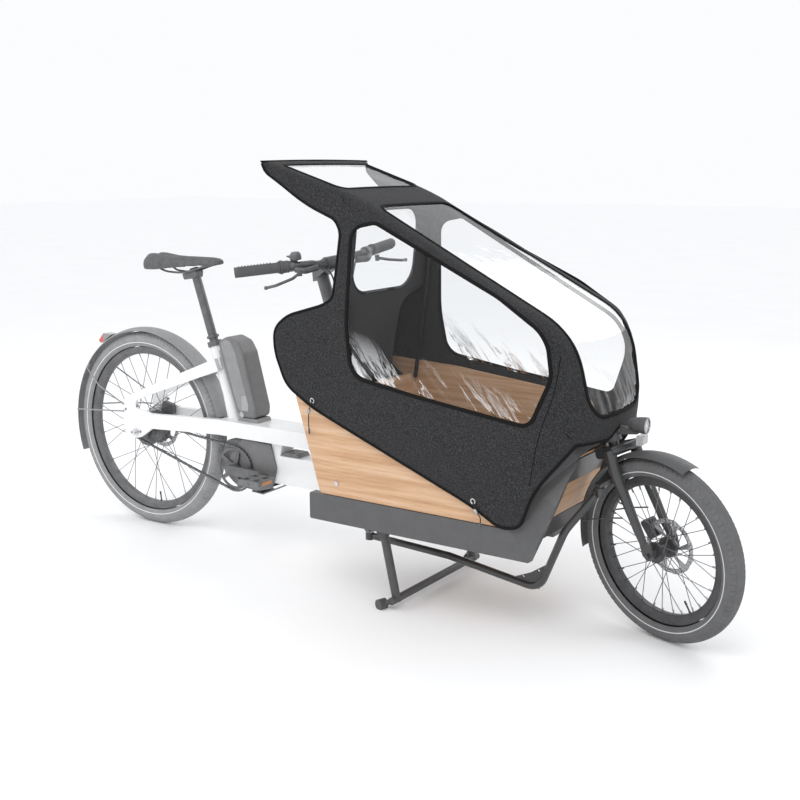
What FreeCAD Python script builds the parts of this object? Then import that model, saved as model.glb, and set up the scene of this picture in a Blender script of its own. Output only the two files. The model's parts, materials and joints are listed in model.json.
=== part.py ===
import FreeCAD, Part
import math
import os
from FreeCAD import Placement, Rotation, Vector

# A long-wheelbase cargo bicycle with an electric drive and a weather canopy over its box.
# Millimetres, +X forward, +Y to the rider's left, +Z up, ground at z = 0. Shapes are drawn
# with x = 0 at the rear axle; every sub-part's placement then moves it to the origin below
# the middle of the bicycle, and turns the steered ones to their rest angle.

DRIVING = {
    "rear_axle_x": -914.5,
    "wheelbase": 1954,
    "rear_wheel_radius": 351,
    "front_wheel_radius": 262,
    "tyre_radius": 30.5,
    "tyre_wall": 3.5,
    "rear_bead_radius": 292,
    "front_bead_radius": 203,
    "rim_half_width": 15,
    "spoke_radius": 1.1,
    "disc_radius": 80,
    "disc_thickness": 1.8,
    "dropout_half_gap": 68,
    "bottom_bracket_x": 437,
    "bottom_bracket_z": 273,
    "chain_line": 49,
    "chainring_radius": 72,
    "sprocket_radius": 32,
    "crank_length": 170,
    "head_angle": 71,
    "rake": 65,
    "steer_rest": -18.7,
    "column_x": 803,
    "column_z": 900,
    "bar_height": 985,
    "bar_tube_radius": 11.1,
    "bar_clamp_radius": 15.9,
    "rod_radius": 11,
    "seat_tube_radius": 20,
    "seat_post_radius": 15.3,
    "beam_half_width": 60,
    "beam_wall": 4,
    "head_tube_radius": 25,
    "column_tube_radius": 24,
    "rail_height": 82,
    "rail_thickness": 26,
    "rail_outer_y": 260,
    "board_thickness": 12,
    "canopy_thickness": 3,
    "window_thickness": 1,
    "pole_radius": 6,
    "stand_tube_radius": 13,
    "fender_width": 70,
    "cord_radius": 1.5,
}

doc = FreeCAD.newDocument("CargoBicycle")
sheet = doc.addObject("Spreadsheet::Sheet", "Dims")
for row, (alias, value) in enumerate(DRIVING.items(), start=1):
    sheet.set(f"A{row}", alias)
    sheet.set(f"B{row}", str(value))
    sheet.setAlias(f"B{row}", alias)
doc.recompute()


def size(alias):
    """A driving dimension, read back from the sheet."""
    return float(sheet.get(alias))


def bind(obj, prop, value):
    """Bind a property to a sheet expression, or set it where the value is a plain number."""
    if isinstance(value, str):
        obj.setExpression(prop, value)
    else:
        setattr(obj, prop, value)


def cell(alias):
    return f"Dims.{alias}"


# ---------------------------------------------------------------- building blocks

PLANES = {
    # plane name -> (origin plane's role, sign of its normal along the global axis)
    "XY": ("XY_Plane", 1),
    "XZ": ("XZ_Plane", -1),
    "YZ": ("YZ_Plane", 1),
}


def rounded(corners):
    """Lines and arcs of a closed outline. A corner is (u, v) or (u, v, radius)."""
    points = [Vector(c[0], c[1], 0) for c in corners]
    radii = [c[2] if len(c) > 2 else 0 for c in corners]
    count = len(points)
    joins = []
    for i in range(count):
        here = points[i]
        back = (points[i - 1] - here).normalize()
        ahead = (points[(i + 1) % count] - here).normalize()
        if radii[i] == 0:
            joins.append((here, None, here))
            continue
        half = back.getAngle(ahead) / 2
        reach = radii[i] / math.tan(half)
        middle = (back + ahead).normalize()
        near = here + middle * (radii[i] / math.sin(half) - radii[i])
        joins.append((here + back * reach, near, here + ahead * reach))
    edges = []
    for i in range(count):
        start, near, end = joins[i]
        if near is not None:
            edges.append(Part.Arc(start, near, end))
        following = joins[(i + 1) % count][0]
        if end.distanceToPoint(following) > 1e-6:
            edges.append(Part.LineSegment(end, following))
    return edges


def sketch_in(body, plane, edges, offset=0):
    role, sign = PLANES[plane]
    sketch = body.newObject("Sketcher::SketchObject", "Sketch")
    face = [o for o in body.Origin.OriginFeatures if o.Role == role][0]
    sketch.AttachmentSupport = [(face, "")]
    sketch.MapMode = "FlatFace"
    sketch.AttachmentOffset = Placement(Vector(0, 0, sign * offset), Rotation())
    for edge in edges:
        sketch.addGeometry(edge)
    return sketch


def slab(plane, corners, low, thickness):
    """A plate: the outline padded from `low` along the plane's global axis."""
    body = doc.addObject("PartDesign::Body", "Slab")
    sketch = sketch_in(body, plane, rounded(corners), low)
    pad = body.newObject("PartDesign::Pad", "Pad")
    pad.Profile = sketch
    pad.Reversed = PLANES[plane][1] < 0
    bind(pad, "Length", thickness)
    return body


def pair(plane, corners, inner, thickness):
    """Two mirrored XZ plates, one each side of the bicycle, from |y| = inner outwards."""
    left = slab(plane, corners, inner, thickness)
    right = doc.addObject("Part::Mirroring", "Mirror")
    right.Source = left
    right.Normal = Vector(0, 1, 0)
    return [left, right]


def turned(corners, centre):
    """A solid of revolution about the axis through `centre` along Y. Corners are (r, y)."""
    body = doc.addObject("PartDesign::Body", "Turned")
    sketch = sketch_in(body, "XY", rounded(corners))
    spin = body.newObject("PartDesign::Revolution", "Revolution")
    spin.Profile = sketch
    spin.ReferenceAxis = (sketch, ["V_Axis"])
    spin.Angle = 360
    body.Placement = Placement(centre, Rotation())
    return body


def rod(start, end, radius):
    """A straight round bar between two points."""
    bar = doc.addObject("Part::Cylinder", "Bar")
    bind(bar, "Radius", radius)
    bar.Height = (end - start).Length
    bar.Placement = Placement(start, Rotation(Vector(0, 0, 1), end - start))
    return bar


def ball(centre, radius):
    sphere = doc.addObject("Part::Sphere", "Ball")
    bind(sphere, "Radius", radius)
    sphere.Placement = Placement(centre, Rotation())
    return sphere


def cone(start, end, first, last):
    shape = doc.addObject("Part::Cone", "Cone")
    shape.Radius1 = first
    shape.Radius2 = last
    shape.Height = (end - start).Length
    shape.Placement = Placement(start, Rotation(Vector(0, 0, 1), end - start))
    return shape


def block(low, high):
    box = doc.addObject("Part::Box", "Block")
    box.Length, box.Width, box.Height = (high[i] - low[i] for i in range(3))
    box.Placement = Placement(Vector(*low), Rotation())
    return box


def route(points, radius=None):
    """A wire of straight runs joined by tangent arcs, with each arc as large as its runs
    allow unless a bend radius is given."""
    edges = []
    start = points[0]
    for i in range(1, len(points) - 1):
        here = points[i]
        back = points[i - 1] - here
        ahead = points[i + 1] - here
        half = back.getAngle(ahead) / 2
        bend = radius or 0.45 * min(back.Length, ahead.Length) * math.tan(half)
        back.normalize()
        ahead.normalize()
        reach = bend / math.tan(half)
        first = here + back * reach
        last = here + ahead * reach
        near = here + (back + ahead).normalize() * (bend / math.sin(half) - bend)
        edges.append(Part.LineSegment(start, first).toShape())
        edges.append(Part.Arc(first, near, last).toShape())
        start = last
    edges.append(Part.LineSegment(start, points[-1]).toShape())
    return Part.Wire(edges)


def pipe(points, radius, bend=None):
    """A round bar swept along a bent route."""
    spine = doc.addObject("Part::Feature", "Spine")
    spine.Shape = route(points, bend)
    circle = doc.addObject("Part::Circle", "Section")
    bind(circle, "Radius", radius)
    circle.Placement = Placement(points[0], Rotation(Vector(0, 0, 1), points[1] - points[0]))
    sweep = doc.addObject("Part::Sweep", "Sweep")
    sweep.Sections = [circle]
    sweep.Spine = (spine, [f"Edge{i + 1}" for i in range(len(spine.Shape.Edges))])
    sweep.Solid = True
    sweep.Frenet = False
    return sweep


def facet(points):
    """The flat faces that close a loop of points: one where they lie flat, else two."""
    flat = Part.makePolygon(points + [points[0]])
    plane = flat.findPlane(1e-5)
    if len(points) == 3 or plane:
        return [Part.Face(flat)]
    a, b, c, d = points
    return facet([a, b, c]) + facet([a, c, d])


def loft(sections):
    """A solid with flat faces through four-cornered sections."""
    faces = facet(list(sections[0])) + facet(list(sections[-1]))
    for near, far in zip(sections, sections[1:]):
        for i in range(4):
            j = (i + 1) % 4
            faces += facet([near[i], near[j], far[j], far[i]])
    shape = doc.addObject("Part::Feature", "Loft")
    solid = Part.Solid(Part.Shell(faces))
    if solid.Volume < 0:
        solid.reverse()
    shape.Shape = solid
    return shape


def join(*pieces):
    fused = doc.addObject("Part::MultiFuse", "Join")
    fused.Shapes = list(pieces)
    fused.Refine = False
    return fused


def less(base, *tools):
    tool = tools[0] if len(tools) == 1 else join(*tools)
    cut = doc.addObject("Part::Cut", "Less")
    cut.Base = base
    cut.Tool = tool
    return cut


def common(first, second):
    both = doc.addObject("Part::Common", "Both")
    both.Base = first
    both.Tool = second
    return both


def group(*pieces):
    together = doc.addObject("Part::Compound", "Group")
    together.Links = list(pieces)
    return together


# ---------------------------------------------------------------- frames of reference

REAR_R = size("rear_wheel_radius")
FRONT_R = size("front_wheel_radius")
BASE = size("wheelbase")
HEAD = math.radians(size("head_angle"))
STEER_AXIS = Vector(-math.cos(HEAD), 0, math.sin(HEAD))
REAR_AXLE = Vector(0, 0, REAR_R)
FRONT_AXLE = Vector(BASE, 0, FRONT_R)
BRACKET = Vector(size("bottom_bracket_x"), 0, size("bottom_bracket_z"))
FORK_POINT = FRONT_AXLE - Vector(math.sin(HEAD), 0, math.cos(HEAD)) * size("rake")
COLUMN_POINT = Vector(size("column_x"), 0, size("column_z"))


def on_axis(point, z):
    """The point of a steering axis at height z."""
    return point + STEER_AXIS * ((z - point.z) / STEER_AXIS.z)


def about(point):
    turn = Rotation(STEER_AXIS, size("steer_rest"))
    return Placement(point - turn.multVec(point), turn)


FRAME = Placement(Vector(size("rear_axle_x"), 0, 0), Rotation())
FORK = FRAME.multiply(about(FORK_POINT))
BARS = FRAME.multiply(about(COLUMN_POINT))

# the arm on the fork crown that the steering rod pushes, straight ahead
ARM = Vector(-25, -72, -9)
FORK_BALL = on_axis(FORK_POINT, 424) + ARM
COLUMN_BALL = on_axis(COLUMN_POINT, 172) + ARM
BALL_TRAVEL = Rotation(STEER_AXIS, size("steer_rest")).multVec(ARM) - ARM
ROD = FRAME.multiply(Placement(BALL_TRAVEL, Rotation()))

NODES = {}


def node(label, piece, where=FRAME):
    """Name a finished sub-part and put it in its place."""
    piece.Label = label
    piece.Placement = where.multiply(piece.Placement)
    NODES[label] = piece


# ---------------------------------------------------------------- wheels

def tyre(outer, bead, centre):
    middle = outer - size("tyre_radius")
    radius = size("tyre_radius")
    inside = radius - size("tyre_wall")
    neck = math.sqrt(radius ** 2 - (middle - bead - 7.5) ** 2)
    inner_neck = neck - size("tyre_wall")
    inner_drop = math.sqrt(inside ** 2 - inner_neck ** 2)
    # half section from the bead, between the rim's lips, out to the start of the round wall
    outside = [Vector(bead + 1, 13.4), Vector(bead + 5.5, 13.4), Vector(bead + 7.5, neck)]
    lining = [Vector(middle - inner_drop, inner_neck), Vector(bead + 5.5, 10.2),
              Vector(bead + 1, 10.2)]

    def flip(point):
        return Vector(point.x, -point.y)

    def lines(points):
        return [Part.LineSegment(a, b) for a, b in zip(points, points[1:])]

    edges = (
        lines(outside) + [Part.Arc(outside[2], Vector(outer, 0), flip(outside[2]))]
        + lines([flip(p) for p in outside[::-1]]) + lines([flip(outside[0]), flip(lining[2])])
        + lines([flip(p) for p in lining[::-1]])
        + [Part.Arc(flip(lining[0]), Vector(middle + inside, 0), lining[0])]
        + lines(lining) + lines([lining[2], outside[0]])
    )
    body = doc.addObject("PartDesign::Body", "Tyre")
    sketch = sketch_in(body, "XY", edges)
    spin = body.newObject("PartDesign::Revolution", "Revolution")
    spin.Profile = sketch
    spin.ReferenceAxis = (sketch, ["V_Axis"])
    spin.Angle = 360
    body.Placement = Placement(centre, Rotation())
    return body


def rim(bead, centre):
    half = size("rim_half_width")
    lip = bead + 5
    section = [
        (bead - 21, -8, 3), (bead - 21, 8, 3), (bead - 11, half - 2, 2), (lip, half),
        (lip, half - 1.3), (bead, half - 1.3), (bead - 8, 11.5), (bead - 17, 6.5),
        (bead - 17, -6.5), (bead - 8, -11.5), (bead, 1.3 - half), (lip, 1.3 - half),
        (lip, -half), (bead - 11, 2 - half, 2),
    ]
    return turned(section, centre)


def spokes(centre, count, flange_radius, flange_y, rim_radius):
    """Tangential spokes, laced from alternate flanges, heads in and heads out by turns."""
    bars = []
    lean = math.radians(70)
    for i in range(count):
        side = 1 if i % 2 else -1
        trail = 1 if (i // 2) % 2 else -1
        outer = 2 * math.pi * i / count
        inner = outer + trail * lean
        out_y = side * (flange_y + 2.5 * trail)
        start = Vector(flange_radius * math.sin(inner), out_y, flange_radius * math.cos(inner))
        end = Vector(rim_radius * math.sin(outer), side * 2, rim_radius * math.cos(outer))
        bars.append(rod(centre + start, centre + end, cell("spoke_radius")))
    return group(*bars)


def disc(centre, y):
    outer = size("disc_radius")
    ring = turned([(outer - 14, y), (outer, y), (outer, y + 1.8), (outer - 14, y + 1.8)], centre)
    core = turned([(16, y), (27, y), (27, y + 1.8), (16, y + 1.8)], centre)
    arms = []
    for i in range(6):
        angle = math.radians(60 * i)
        arm = slab("XZ", [(24, -5), (68, 12), (68, 24), (24, 7)], y, cell("disc_thickness"))
        turn = Rotation(Vector(0, 1, 0), math.degrees(angle))
        arm.Placement = Placement(centre, turn)
        arms.append(arm)
    return join(ring, core, *arms)


def rear_wheel():
    node("rear_tyre", tyre(REAR_R, size("rear_bead_radius"), REAR_AXLE))
    node("rear_rim", rim(size("rear_bead_radius"), REAR_AXLE))
    node("rear_spokes", spokes(REAR_AXLE, 32, 55, 28, size("rear_bead_radius") - 20.5))
    hub = [
        (6.2, -34), (30, -34), (42, -31), (60, -31), (60, -25), (52, -24), (50, -15, 8),
        (50, 15, 8), (52, 24), (60, 25), (60, 31), (40, 32), (26, 48), (6.2, 48),
    ]
    node("rear_hub", turned(hub, REAR_AXLE))
    node("rear_disc", disc(REAR_AXLE, 50))
    axle = rod(REAR_AXLE + Vector(0, -92, 0), REAR_AXLE + Vector(0, 92, 0), 6)
    nuts = [
        rod(REAR_AXLE + Vector(0, s * 78, 0), REAR_AXLE + Vector(0, s * 88, 0), 12)
        for s in (-1, 1)
    ]
    node("rear_axle", join(axle, *nuts))


def front_wheel():
    node("front_tyre", tyre(FRONT_R, size("front_bead_radius"), FRONT_AXLE), FORK)
    node("front_rim", rim(size("front_bead_radius"), FRONT_AXLE), FORK)
    front_reach = size("front_bead_radius") - 20.5
    node("front_spokes", spokes(FRONT_AXLE, 32, 25, 26, front_reach), FORK)
    hub = [
        (6.2, -46), (12, -46), (14, -31), (29, -30), (29, -22), (17, -20), (15, -8, 6),
        (15, 8, 6), (17, 20), (29, 22), (29, 30), (24, 31), (24, 32.9), (15.8, 32.9),
        (15.8, 36), (12, 46), (6.2, 46),
    ]
    node("front_hub", turned(hub, FRONT_AXLE), FORK)
    node("front_disc", disc(FRONT_AXLE, 33), FORK)


# ---------------------------------------------------------------- drivetrain

def drivetrain():
    line = -size("chain_line")
    ring_r = size("chainring_radius")
    small_r = size("sprocket_radius")
    chain_r = 4.2

    def ring(centre, radius):
        return turned([(radius - 9, line - 1.6), (radius, line - 1.2), (radius, line + 1.2),
                       (radius - 9, line + 1.6)], centre)

    # the chain: a closed loop of constant height round both toothed wheels
    gap = 0.6
    span = BRACKET - REAR_AXLE
    lean = math.atan2(span.z, span.x)
    spread = math.asin((ring_r - small_r) / span.Length)

    def loop(extra):
        """Outline of a belt round the two circles, grown by `extra`."""
        r1, r2 = small_r + extra, ring_r + extra
        up = lean + math.pi / 2 + spread
        down = lean - math.pi / 2 - spread

        def at(centre, radius, angle):
            return Vector(centre.x + radius * math.cos(angle),
                          centre.z + radius * math.sin(angle), 0)

        a, b = at(REAR_AXLE, r1, up), at(BRACKET, r2, up)
        c, d = at(BRACKET, r2, down), at(REAR_AXLE, r1, down)
        return [
            Part.LineSegment(a, b),
            Part.Arc(b, at(BRACKET, r2, lean), c),
            Part.LineSegment(c, d),
            Part.Arc(d, at(REAR_AXLE, r1, lean + math.pi), a),
        ]

    def belt(extra):
        body = doc.addObject("PartDesign::Body", "Belt")
        sketch = sketch_in(body, "XZ", loop(extra), line - 4)
        pad = body.newObject("PartDesign::Pad", "Pad")
        pad.Profile = sketch
        pad.Reversed = True
        pad.Length = 8
        return body

    node("chain", less(belt(gap + 2 * chain_r), belt(gap)))

    sprocket = ring(REAR_AXLE, small_r)
    carrier = turned([(6.2, line - 6), (20, line - 6), (24, line - 1.5), (28, line - 1.5),
                      (28, line + 1.5), (24, line + 1.5), (24, line + 14), (6.2, line + 14)],
                     REAR_AXLE)
    node("sprocket", join(sprocket, carrier))

    big = ring(BRACKET, ring_r)
    spider = []
    for i in range(5):
        arm = slab("XZ", [(16, -9, 2), (ring_r - 6, -6, 2), (ring_r - 6, 6, 2), (16, 9, 2)],
                   line - 3, 6)
        arm.Placement = Placement(BRACKET, Rotation(Vector(0, 1, 0), 72 * i))
        spider.append(arm)
    spindle = rod(BRACKET + Vector(0, -78, 0), BRACKET + Vector(0, 78, 0), 9.4)
    boss = rod(BRACKET + Vector(0, line - 6, 0), BRACKET + Vector(0, line + 4, 0), 22)
    length = size("crank_length")
    crank_y = 73
    pedal_y = 131
    arms = []
    for side in (-1, 1):
        reach = -side * length
        tip = reach - side * 13
        outline = [(side * 17, -17, 16), (tip, -13, 12), (tip, 13, 12), (side * 17, 17, 16)]
        arm = slab("XZ", outline, side * crank_y - 7, 14)
        arm.Placement = Placement(BRACKET, Rotation())
        arms.append(arm)
    pins = [
        rod(BRACKET + Vector(-s * length, s * crank_y, 0),
            BRACKET + Vector(-s * length, s * (pedal_y + 43), 0), 4.5)
        for s in (-1, 1)
    ]
    node("crankset", join(big, *spider, spindle, boss, *arms, *pins))

    for name, side in (("pedal_right", -1), ("pedal_left", 1)):
        centre = BRACKET + Vector(-side * length, side * pedal_y, 0)
        outer = slab("XZ", [(-43, -10, 6), (43, -10, 6), (43, 10, 6), (-43, 10, 6)], -42, 84)
        slots = [
            slab("XZ", [(x, -11), (x + 22, -11), (x + 22, 11), (x, 11)], y, 28)
            for x in (-33, 11) for y in (-35, 7)
        ]
        bore = rod(Vector(0, -60, 0), Vector(0, 60, 0), 4.6)
        body = less(outer, *slots, bore)
        body.Placement = Placement(centre, Rotation())
        node(name, body)


# ---------------------------------------------------------------- welded rear frame

def rear_frame():
    half = size("beam_half_width")
    wall = size("beam_wall")
    beam = slab("XZ", [(376, 385), (958, 385), (944, 437), (376, 437)], -half, 2 * half)
    low_beam = slab("XZ", [(592, 244), (1040, 244), (1040, 340), (592, 340)], -36, 72)
    web = slab("XZ", [(592, 335), (626, 335), (640, 390), (592, 390)], -35, 70)
    beam_space = block((376 + wall, wall - half, 385 + wall), (940, half - wall, 437 - wall))
    low_space = block((592 + wall, wall - 36, 244 + wall), (1041, 36 - wall, 340 - wall))
    column = rod(on_axis(COLUMN_POINT, 200), on_axis(COLUMN_POINT, 500), cell("column_tube_radius"))
    node("centre_frame", less(join(beam, low_beam, web), beam_space, low_space, column))

    # one side: dropout plate, chain stay and seat stay as flat boxes
    plate = [
        (-36, 477, 10), (-68, 452, 12), (-64, 400, 30), (-56, 340, 14), (-30, 322, 10),
        (22, 334, 12), (74, 368, 8), (74, 426, 4), (2, 437, 8), (2, 462, 8), (44, 482),
        (34, 507),
    ]
    inner = size("dropout_half_gap")
    plates = pair("XZ", plate, inner, 10)
    lower = []
    for side in (-1, 1):
        ring = [
            [Vector(20, side * y, z) for y, z in ((69, 368), (69, 425), (77, 425), (77, 368))],
            [Vector(80, side * y, z) for y, z in ((60, 372), (60, 424), (80, 424), (80, 372))],
            [Vector(376, side * y, z) for y, z in ((40, 385), (40, 437), (60, 437), (60, 385))],
        ]
        lower.append(loft(ring))
    upper = []
    for side in (-1, 1):
        ring = []
        for near, far, (x0, z0), (x1, z1) in (
            (68, 78, (44, 482), (34, 507)), (41, 61, (272, 565), (258, 600)),
            (18, 38, (366, 600), (350, 640)),
        ):
            ring.append([Vector(x0, side * near, z0), Vector(x1, side * near, z1),
                         Vector(x1, side * far, z1), Vector(x0, side * far, z0)])
        upper.append(loft(ring))
    axle_bore = rod(REAR_AXLE + Vector(0, -100, 0), REAR_AXLE + Vector(0, 100, 0), 6.05)
    sides = [less(join(p, s), axle_bore) for p, s in zip(plates[::-1], lower)]
    node("chain_stays", group(*sides))
    node("seat_stays", group(*upper))

    low = Vector(408, 0, 425)
    top = Vector(319, 0, 690)
    outer = rod(low, top, cell("seat_tube_radius"))
    foot = cone(low, low + (top - low) * 0.35, 27, 20)
    bridge = slab("XZ", [(340, 596), (366, 606), (354, 642), (328, 632)], -18, 36)
    along = (top - low).normalize()
    bore = rod(low + along * 15, top + along * 5, 15.4)
    under = block((300, -60, 380), (480, 60, 437.1))
    node("seat_tube", less(join(outer, foot, bridge), bore, under))
    collar = less(rod(top - along * 14, top + along * 4, 24.5), rod(low, top + along * 20, 20.05))
    node("seat_clamp", collar)
    return low, top, along


def seat(low, top, along):
    head = top + along * 262
    post = rod(low + along * 90, head, cell("seat_post_radius"))
    seal = rod(top + along * 16, top + along * 24, 21)
    cradle = slab("XZ", [(196, 918, 4), (262, 932, 4), (258, 908, 6), (205, 898, 6)], -18, 36)
    rails = []
    for side in (-1, 1):
        line = [Vector(96, side * 34, 938), Vector(128, side * 26, 924), Vector(196, side * 21.5, 921),
                Vector(256, side * 21.5, 934), Vector(300, side * 18, 948), Vector(330, side * 10, 954)]
        rails.append(pipe(line, 3.5))
    node("seatpost", join(post, seal, cradle, *rails))
    pad = slab("XY", [(40, -30, 25), (70, -74, 30), (120, -74, 30), (215, -32, 60), (352, -19, 15),
                      (366, 0, 10), (352, 19, 15), (215, 32, 60), (120, 74, 30), (70, 74, 30),
                      (40, 30, 25)], 958, 22)
    node("saddle", pad)


# ---------------------------------------------------------------- motor and battery

def drive():
    core = [(398, 368, 20), (590, 372, 10), (590, 226, 20), (520, 206, 30), (430, 212, 60),
            (374, 256, 50), (374, 320, 30)]
    body = slab("XZ", core, -37, 74)
    bore = rod(BRACKET + Vector(0, -80, 0), BRACKET + Vector(0, 80, 0), 9.5)
    node("motor", less(body, bore))
    shell = [(470, 378, 12), (594, 374, 10), (616, 296, 24), (598, 226, 16), (530, 206, 24),
             (452, 214, 30), (402, 300, 40)]
    covers = pair("XZ", shell, 37.3, 6)
    hole = rod(BRACKET + Vector(0, -80, 0), BRACKET + Vector(0, 80, 0), 26)
    covers = [less(c, hole) for c in covers]
    skid = slab("XZ", [(498, 197), (548, 195), (636, 236), (634, 239.5), (547, 199), (498, 201)],
                -34, 68)
    cap = slab("XZ", [(630, 340.2), (702, 340.2), (694, 352, 5), (638, 352, 5)], -30, 60)
    node("drive_covers", group(*covers, skid, cap))

    # the battery stands in front of the seat tube, tipped back like it
    case = [(368, 702, 16), (412, 722, 24), (458, 706, 24), (480, 672, 30), (530, 486, 20),
            (526, 452, 14), (460, 452, 10), (442, 470, 12)]
    node("battery", slab("XZ", case, -41, 82))
    dock = slab("XZ", [(446, 437), (534, 437), (530, 450, 4), (452, 450, 4)], -34, 68)
    spine = slab("XZ", [(352, 664), (362, 674), (368, 670), (446, 452), (434, 446)], -14, 28)
    node("battery_dock", join(dock, spine))


# ---------------------------------------------------------------- fenders and lamps

def fender(centre, radius, start, end, width):
    """A mudguard: an arched strip round a wheel between two angles measured from forward,
    counted upwards and over to the rear."""
    body = doc.addObject("PartDesign::Body", "Fender")
    half = width / 2
    sag = 9
    thick = 2.2
    outer = [Vector(radius - sag, -half), Vector(radius, 0), Vector(radius - sag, half)]
    inner = [Vector(radius - sag - thick, half), Vector(radius - thick, 0),
             Vector(radius - sag - thick, -half)]
    edges = [
        Part.Arc(*outer), Part.LineSegment(outer[2], inner[0]),
        Part.Arc(*inner), Part.LineSegment(inner[2], outer[0]),
    ]
    sketch = sketch_in(body, "XY", edges)
    spin = body.newObject("PartDesign::Revolution", "Revolution")
    spin.Profile = sketch
    spin.ReferenceAxis = (sketch, ["V_Axis"])
    spin.Angle = end - start
    spin.Reversed = True
    body.Placement = Placement(centre, Rotation(Vector(0, 1, 0), -start))
    return body


def rear_equipment():
    strip = fender(REAR_AXLE + Vector(2, 0, -3), 370, 14, 199, size("fender_width"))
    stays = []
    for side in (-1, 1):
        y = side * 80.7
        stays.append(pipe([Vector(-58, y, 420), Vector(-200, y, 408), Vector(-330, side * 60, 393),
                           Vector(-347, side * 33, 390)], 2.5, 12))
        stays.append(pipe([Vector(-58, y, 446), Vector(-180, y, 500), Vector(-262, side * 60, 552),
                           Vector(-280, side * 33, 566)], 2.5, 12))
    node("rear_fender", group(strip, *stays))
    lamp = slab("XZ", [(-170, 680), (-216, 681, 5), (-242, 652, 4), (-231, 644)], -17, 34)
    node("tail_light", lamp)
    caliper = slab("XZ", [(6, 402, 6), (58, 392, 8), (66, 434, 8), (12, 446, 8)], 42, 16)
    slot = rod(REAR_AXLE + Vector(0, 49.4, 0), REAR_AXLE + Vector(0, 52.4, 0), 83)
    node("rear_caliper", less(caliper, slot))


def front_equipment():
    strip = fender(FRONT_AXLE, 276, 68, 192, size("fender_width") - 4)
    stays = []
    for side in (-1, 1):
        stays.append(pipe([Vector(BASE - 90, side * 53, 346), Vector(BASE - 150, side * 51, 330),
                           Vector(BASE - 242, side * 45, 298), Vector(BASE - 277, side * 31, 292)],
                          2.2, 12))
    node("front_fender", group(strip, *stays), FORK)


# ---------------------------------------------------------------- box frame

RAIL_FLOOR = 238
STAND_PIVOT = Vector(1172, 0, 226)
MITRE_TOP = Vector(1612, 0, 316)
MITRE_BOTTOM = Vector(1672, 0, 238)


def box_frame():
    outer = size("rail_outer_y")
    thick = size("rail_thickness")
    inner = outer - thick
    top = RAIL_FLOOR + size("rail_height")
    side = [(930, RAIL_FLOOR, 6), (MITRE_BOTTOM.x, RAIL_FLOOR), (MITRE_TOP.x, top), (930, top, 6)]
    rails = pair("XZ", side, inner, cell("rail_thickness"))
    hollow = [(920, RAIL_FLOOR + 3), (1640, RAIL_FLOOR + 3), (1596, top - 3), (920, top - 3)]
    rails = [less(rail, space) for rail, space in
             zip(rails, pair("XZ", hollow, inner + 3, thick - 6))]
    members = []
    for x in (1052, 1240, 1440):
        members.append(block((x, -inner, RAIL_FLOOR + 2), (x + 36, inner, RAIL_FLOOR + 26)))
    members.append(block((1152, -inner, 246), (1192, inner, RAIL_FLOOR + 26)))
    ear = [(1150, 250), (1194, 250), (1190, 210, 12), (1154, 210, 12)]
    pin = rod(Vector(STAND_PIVOT.x, -240, STAND_PIVOT.z), Vector(STAND_PIVOT.x, 240, STAND_PIVOT.z), 8.08)
    members += [less(e, pin) for e in pair("XZ", ear, 180, 8)]
    front = slab("XZ", [(1612, 268), (1650, 268), (1640, 306), (1612, 306)], -inner, 2 * inner)
    back = block((1040, -inner, 262), (1054, inner, 312))
    node("box_rails", group(*rails))
    low = on_axis(FORK_POINT, 538)
    high = on_axis(FORK_POINT, 604)
    head = rod(low - STEER_AXIS * 9, high + STEER_AXIS * 9, cell("head_tube_radius"))
    tube = less(rod(low, high, cell("head_tube_radius")),
                rod(low - STEER_AXIS, high + STEER_AXIS, 14.4))
    low = on_axis(COLUMN_POINT, 236)
    high = on_axis(COLUMN_POINT, 640)
    column = less(rod(low, high, cell("column_tube_radius")),
                  rod(low - STEER_AXIS, high + STEER_AXIS, 16.1))
    keel = block((1052, -30, 240), (1630, 30, 264))
    shield = loft([
        [Vector(1702, -120, 425.5), Vector(1702, 120, 425.5), Vector(1698, 120, 427),
         Vector(1698, -120, 427)],
        [Vector(1732, -88, 496), Vector(1732, 88, 496), Vector(1728, 88, 498),
         Vector(1728, -88, 498)],
    ])
    node("box_frame", group(join(*members, front, keel, back), tube, column, shield))

    arms = []
    for s in (-1, 1):
        bottom = [Vector(MITRE_TOP.x, s * outer, top), Vector(MITRE_BOTTOM.x, s * outer, RAIL_FLOOR),
                  Vector(MITRE_BOTTOM.x, s * inner, RAIL_FLOOR), Vector(MITRE_TOP.x, s * inner, top)]
        middle = [Vector(1660, s * 190, 420), Vector(1714, s * 186, 384),
                  Vector(1708, s * 162, 376), Vector(1654, s * 166, 412)]
        upper = [Vector(1710, s * 112, 546), Vector(1740, s * 112, 504),
                 Vector(1730, s * 90, 498), Vector(1700, s * 90, 540)]
        last = [Vector(1758, s * 24, 600), Vector(1780, s * 24, 558),
                Vector(1770, s * 8, 556), Vector(1748, s * 8, 598)]
        arms.append(loft([bottom, middle, upper, last]))
    node("front_arms", group(*[less(arm, head) for arm in arms]))


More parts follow.
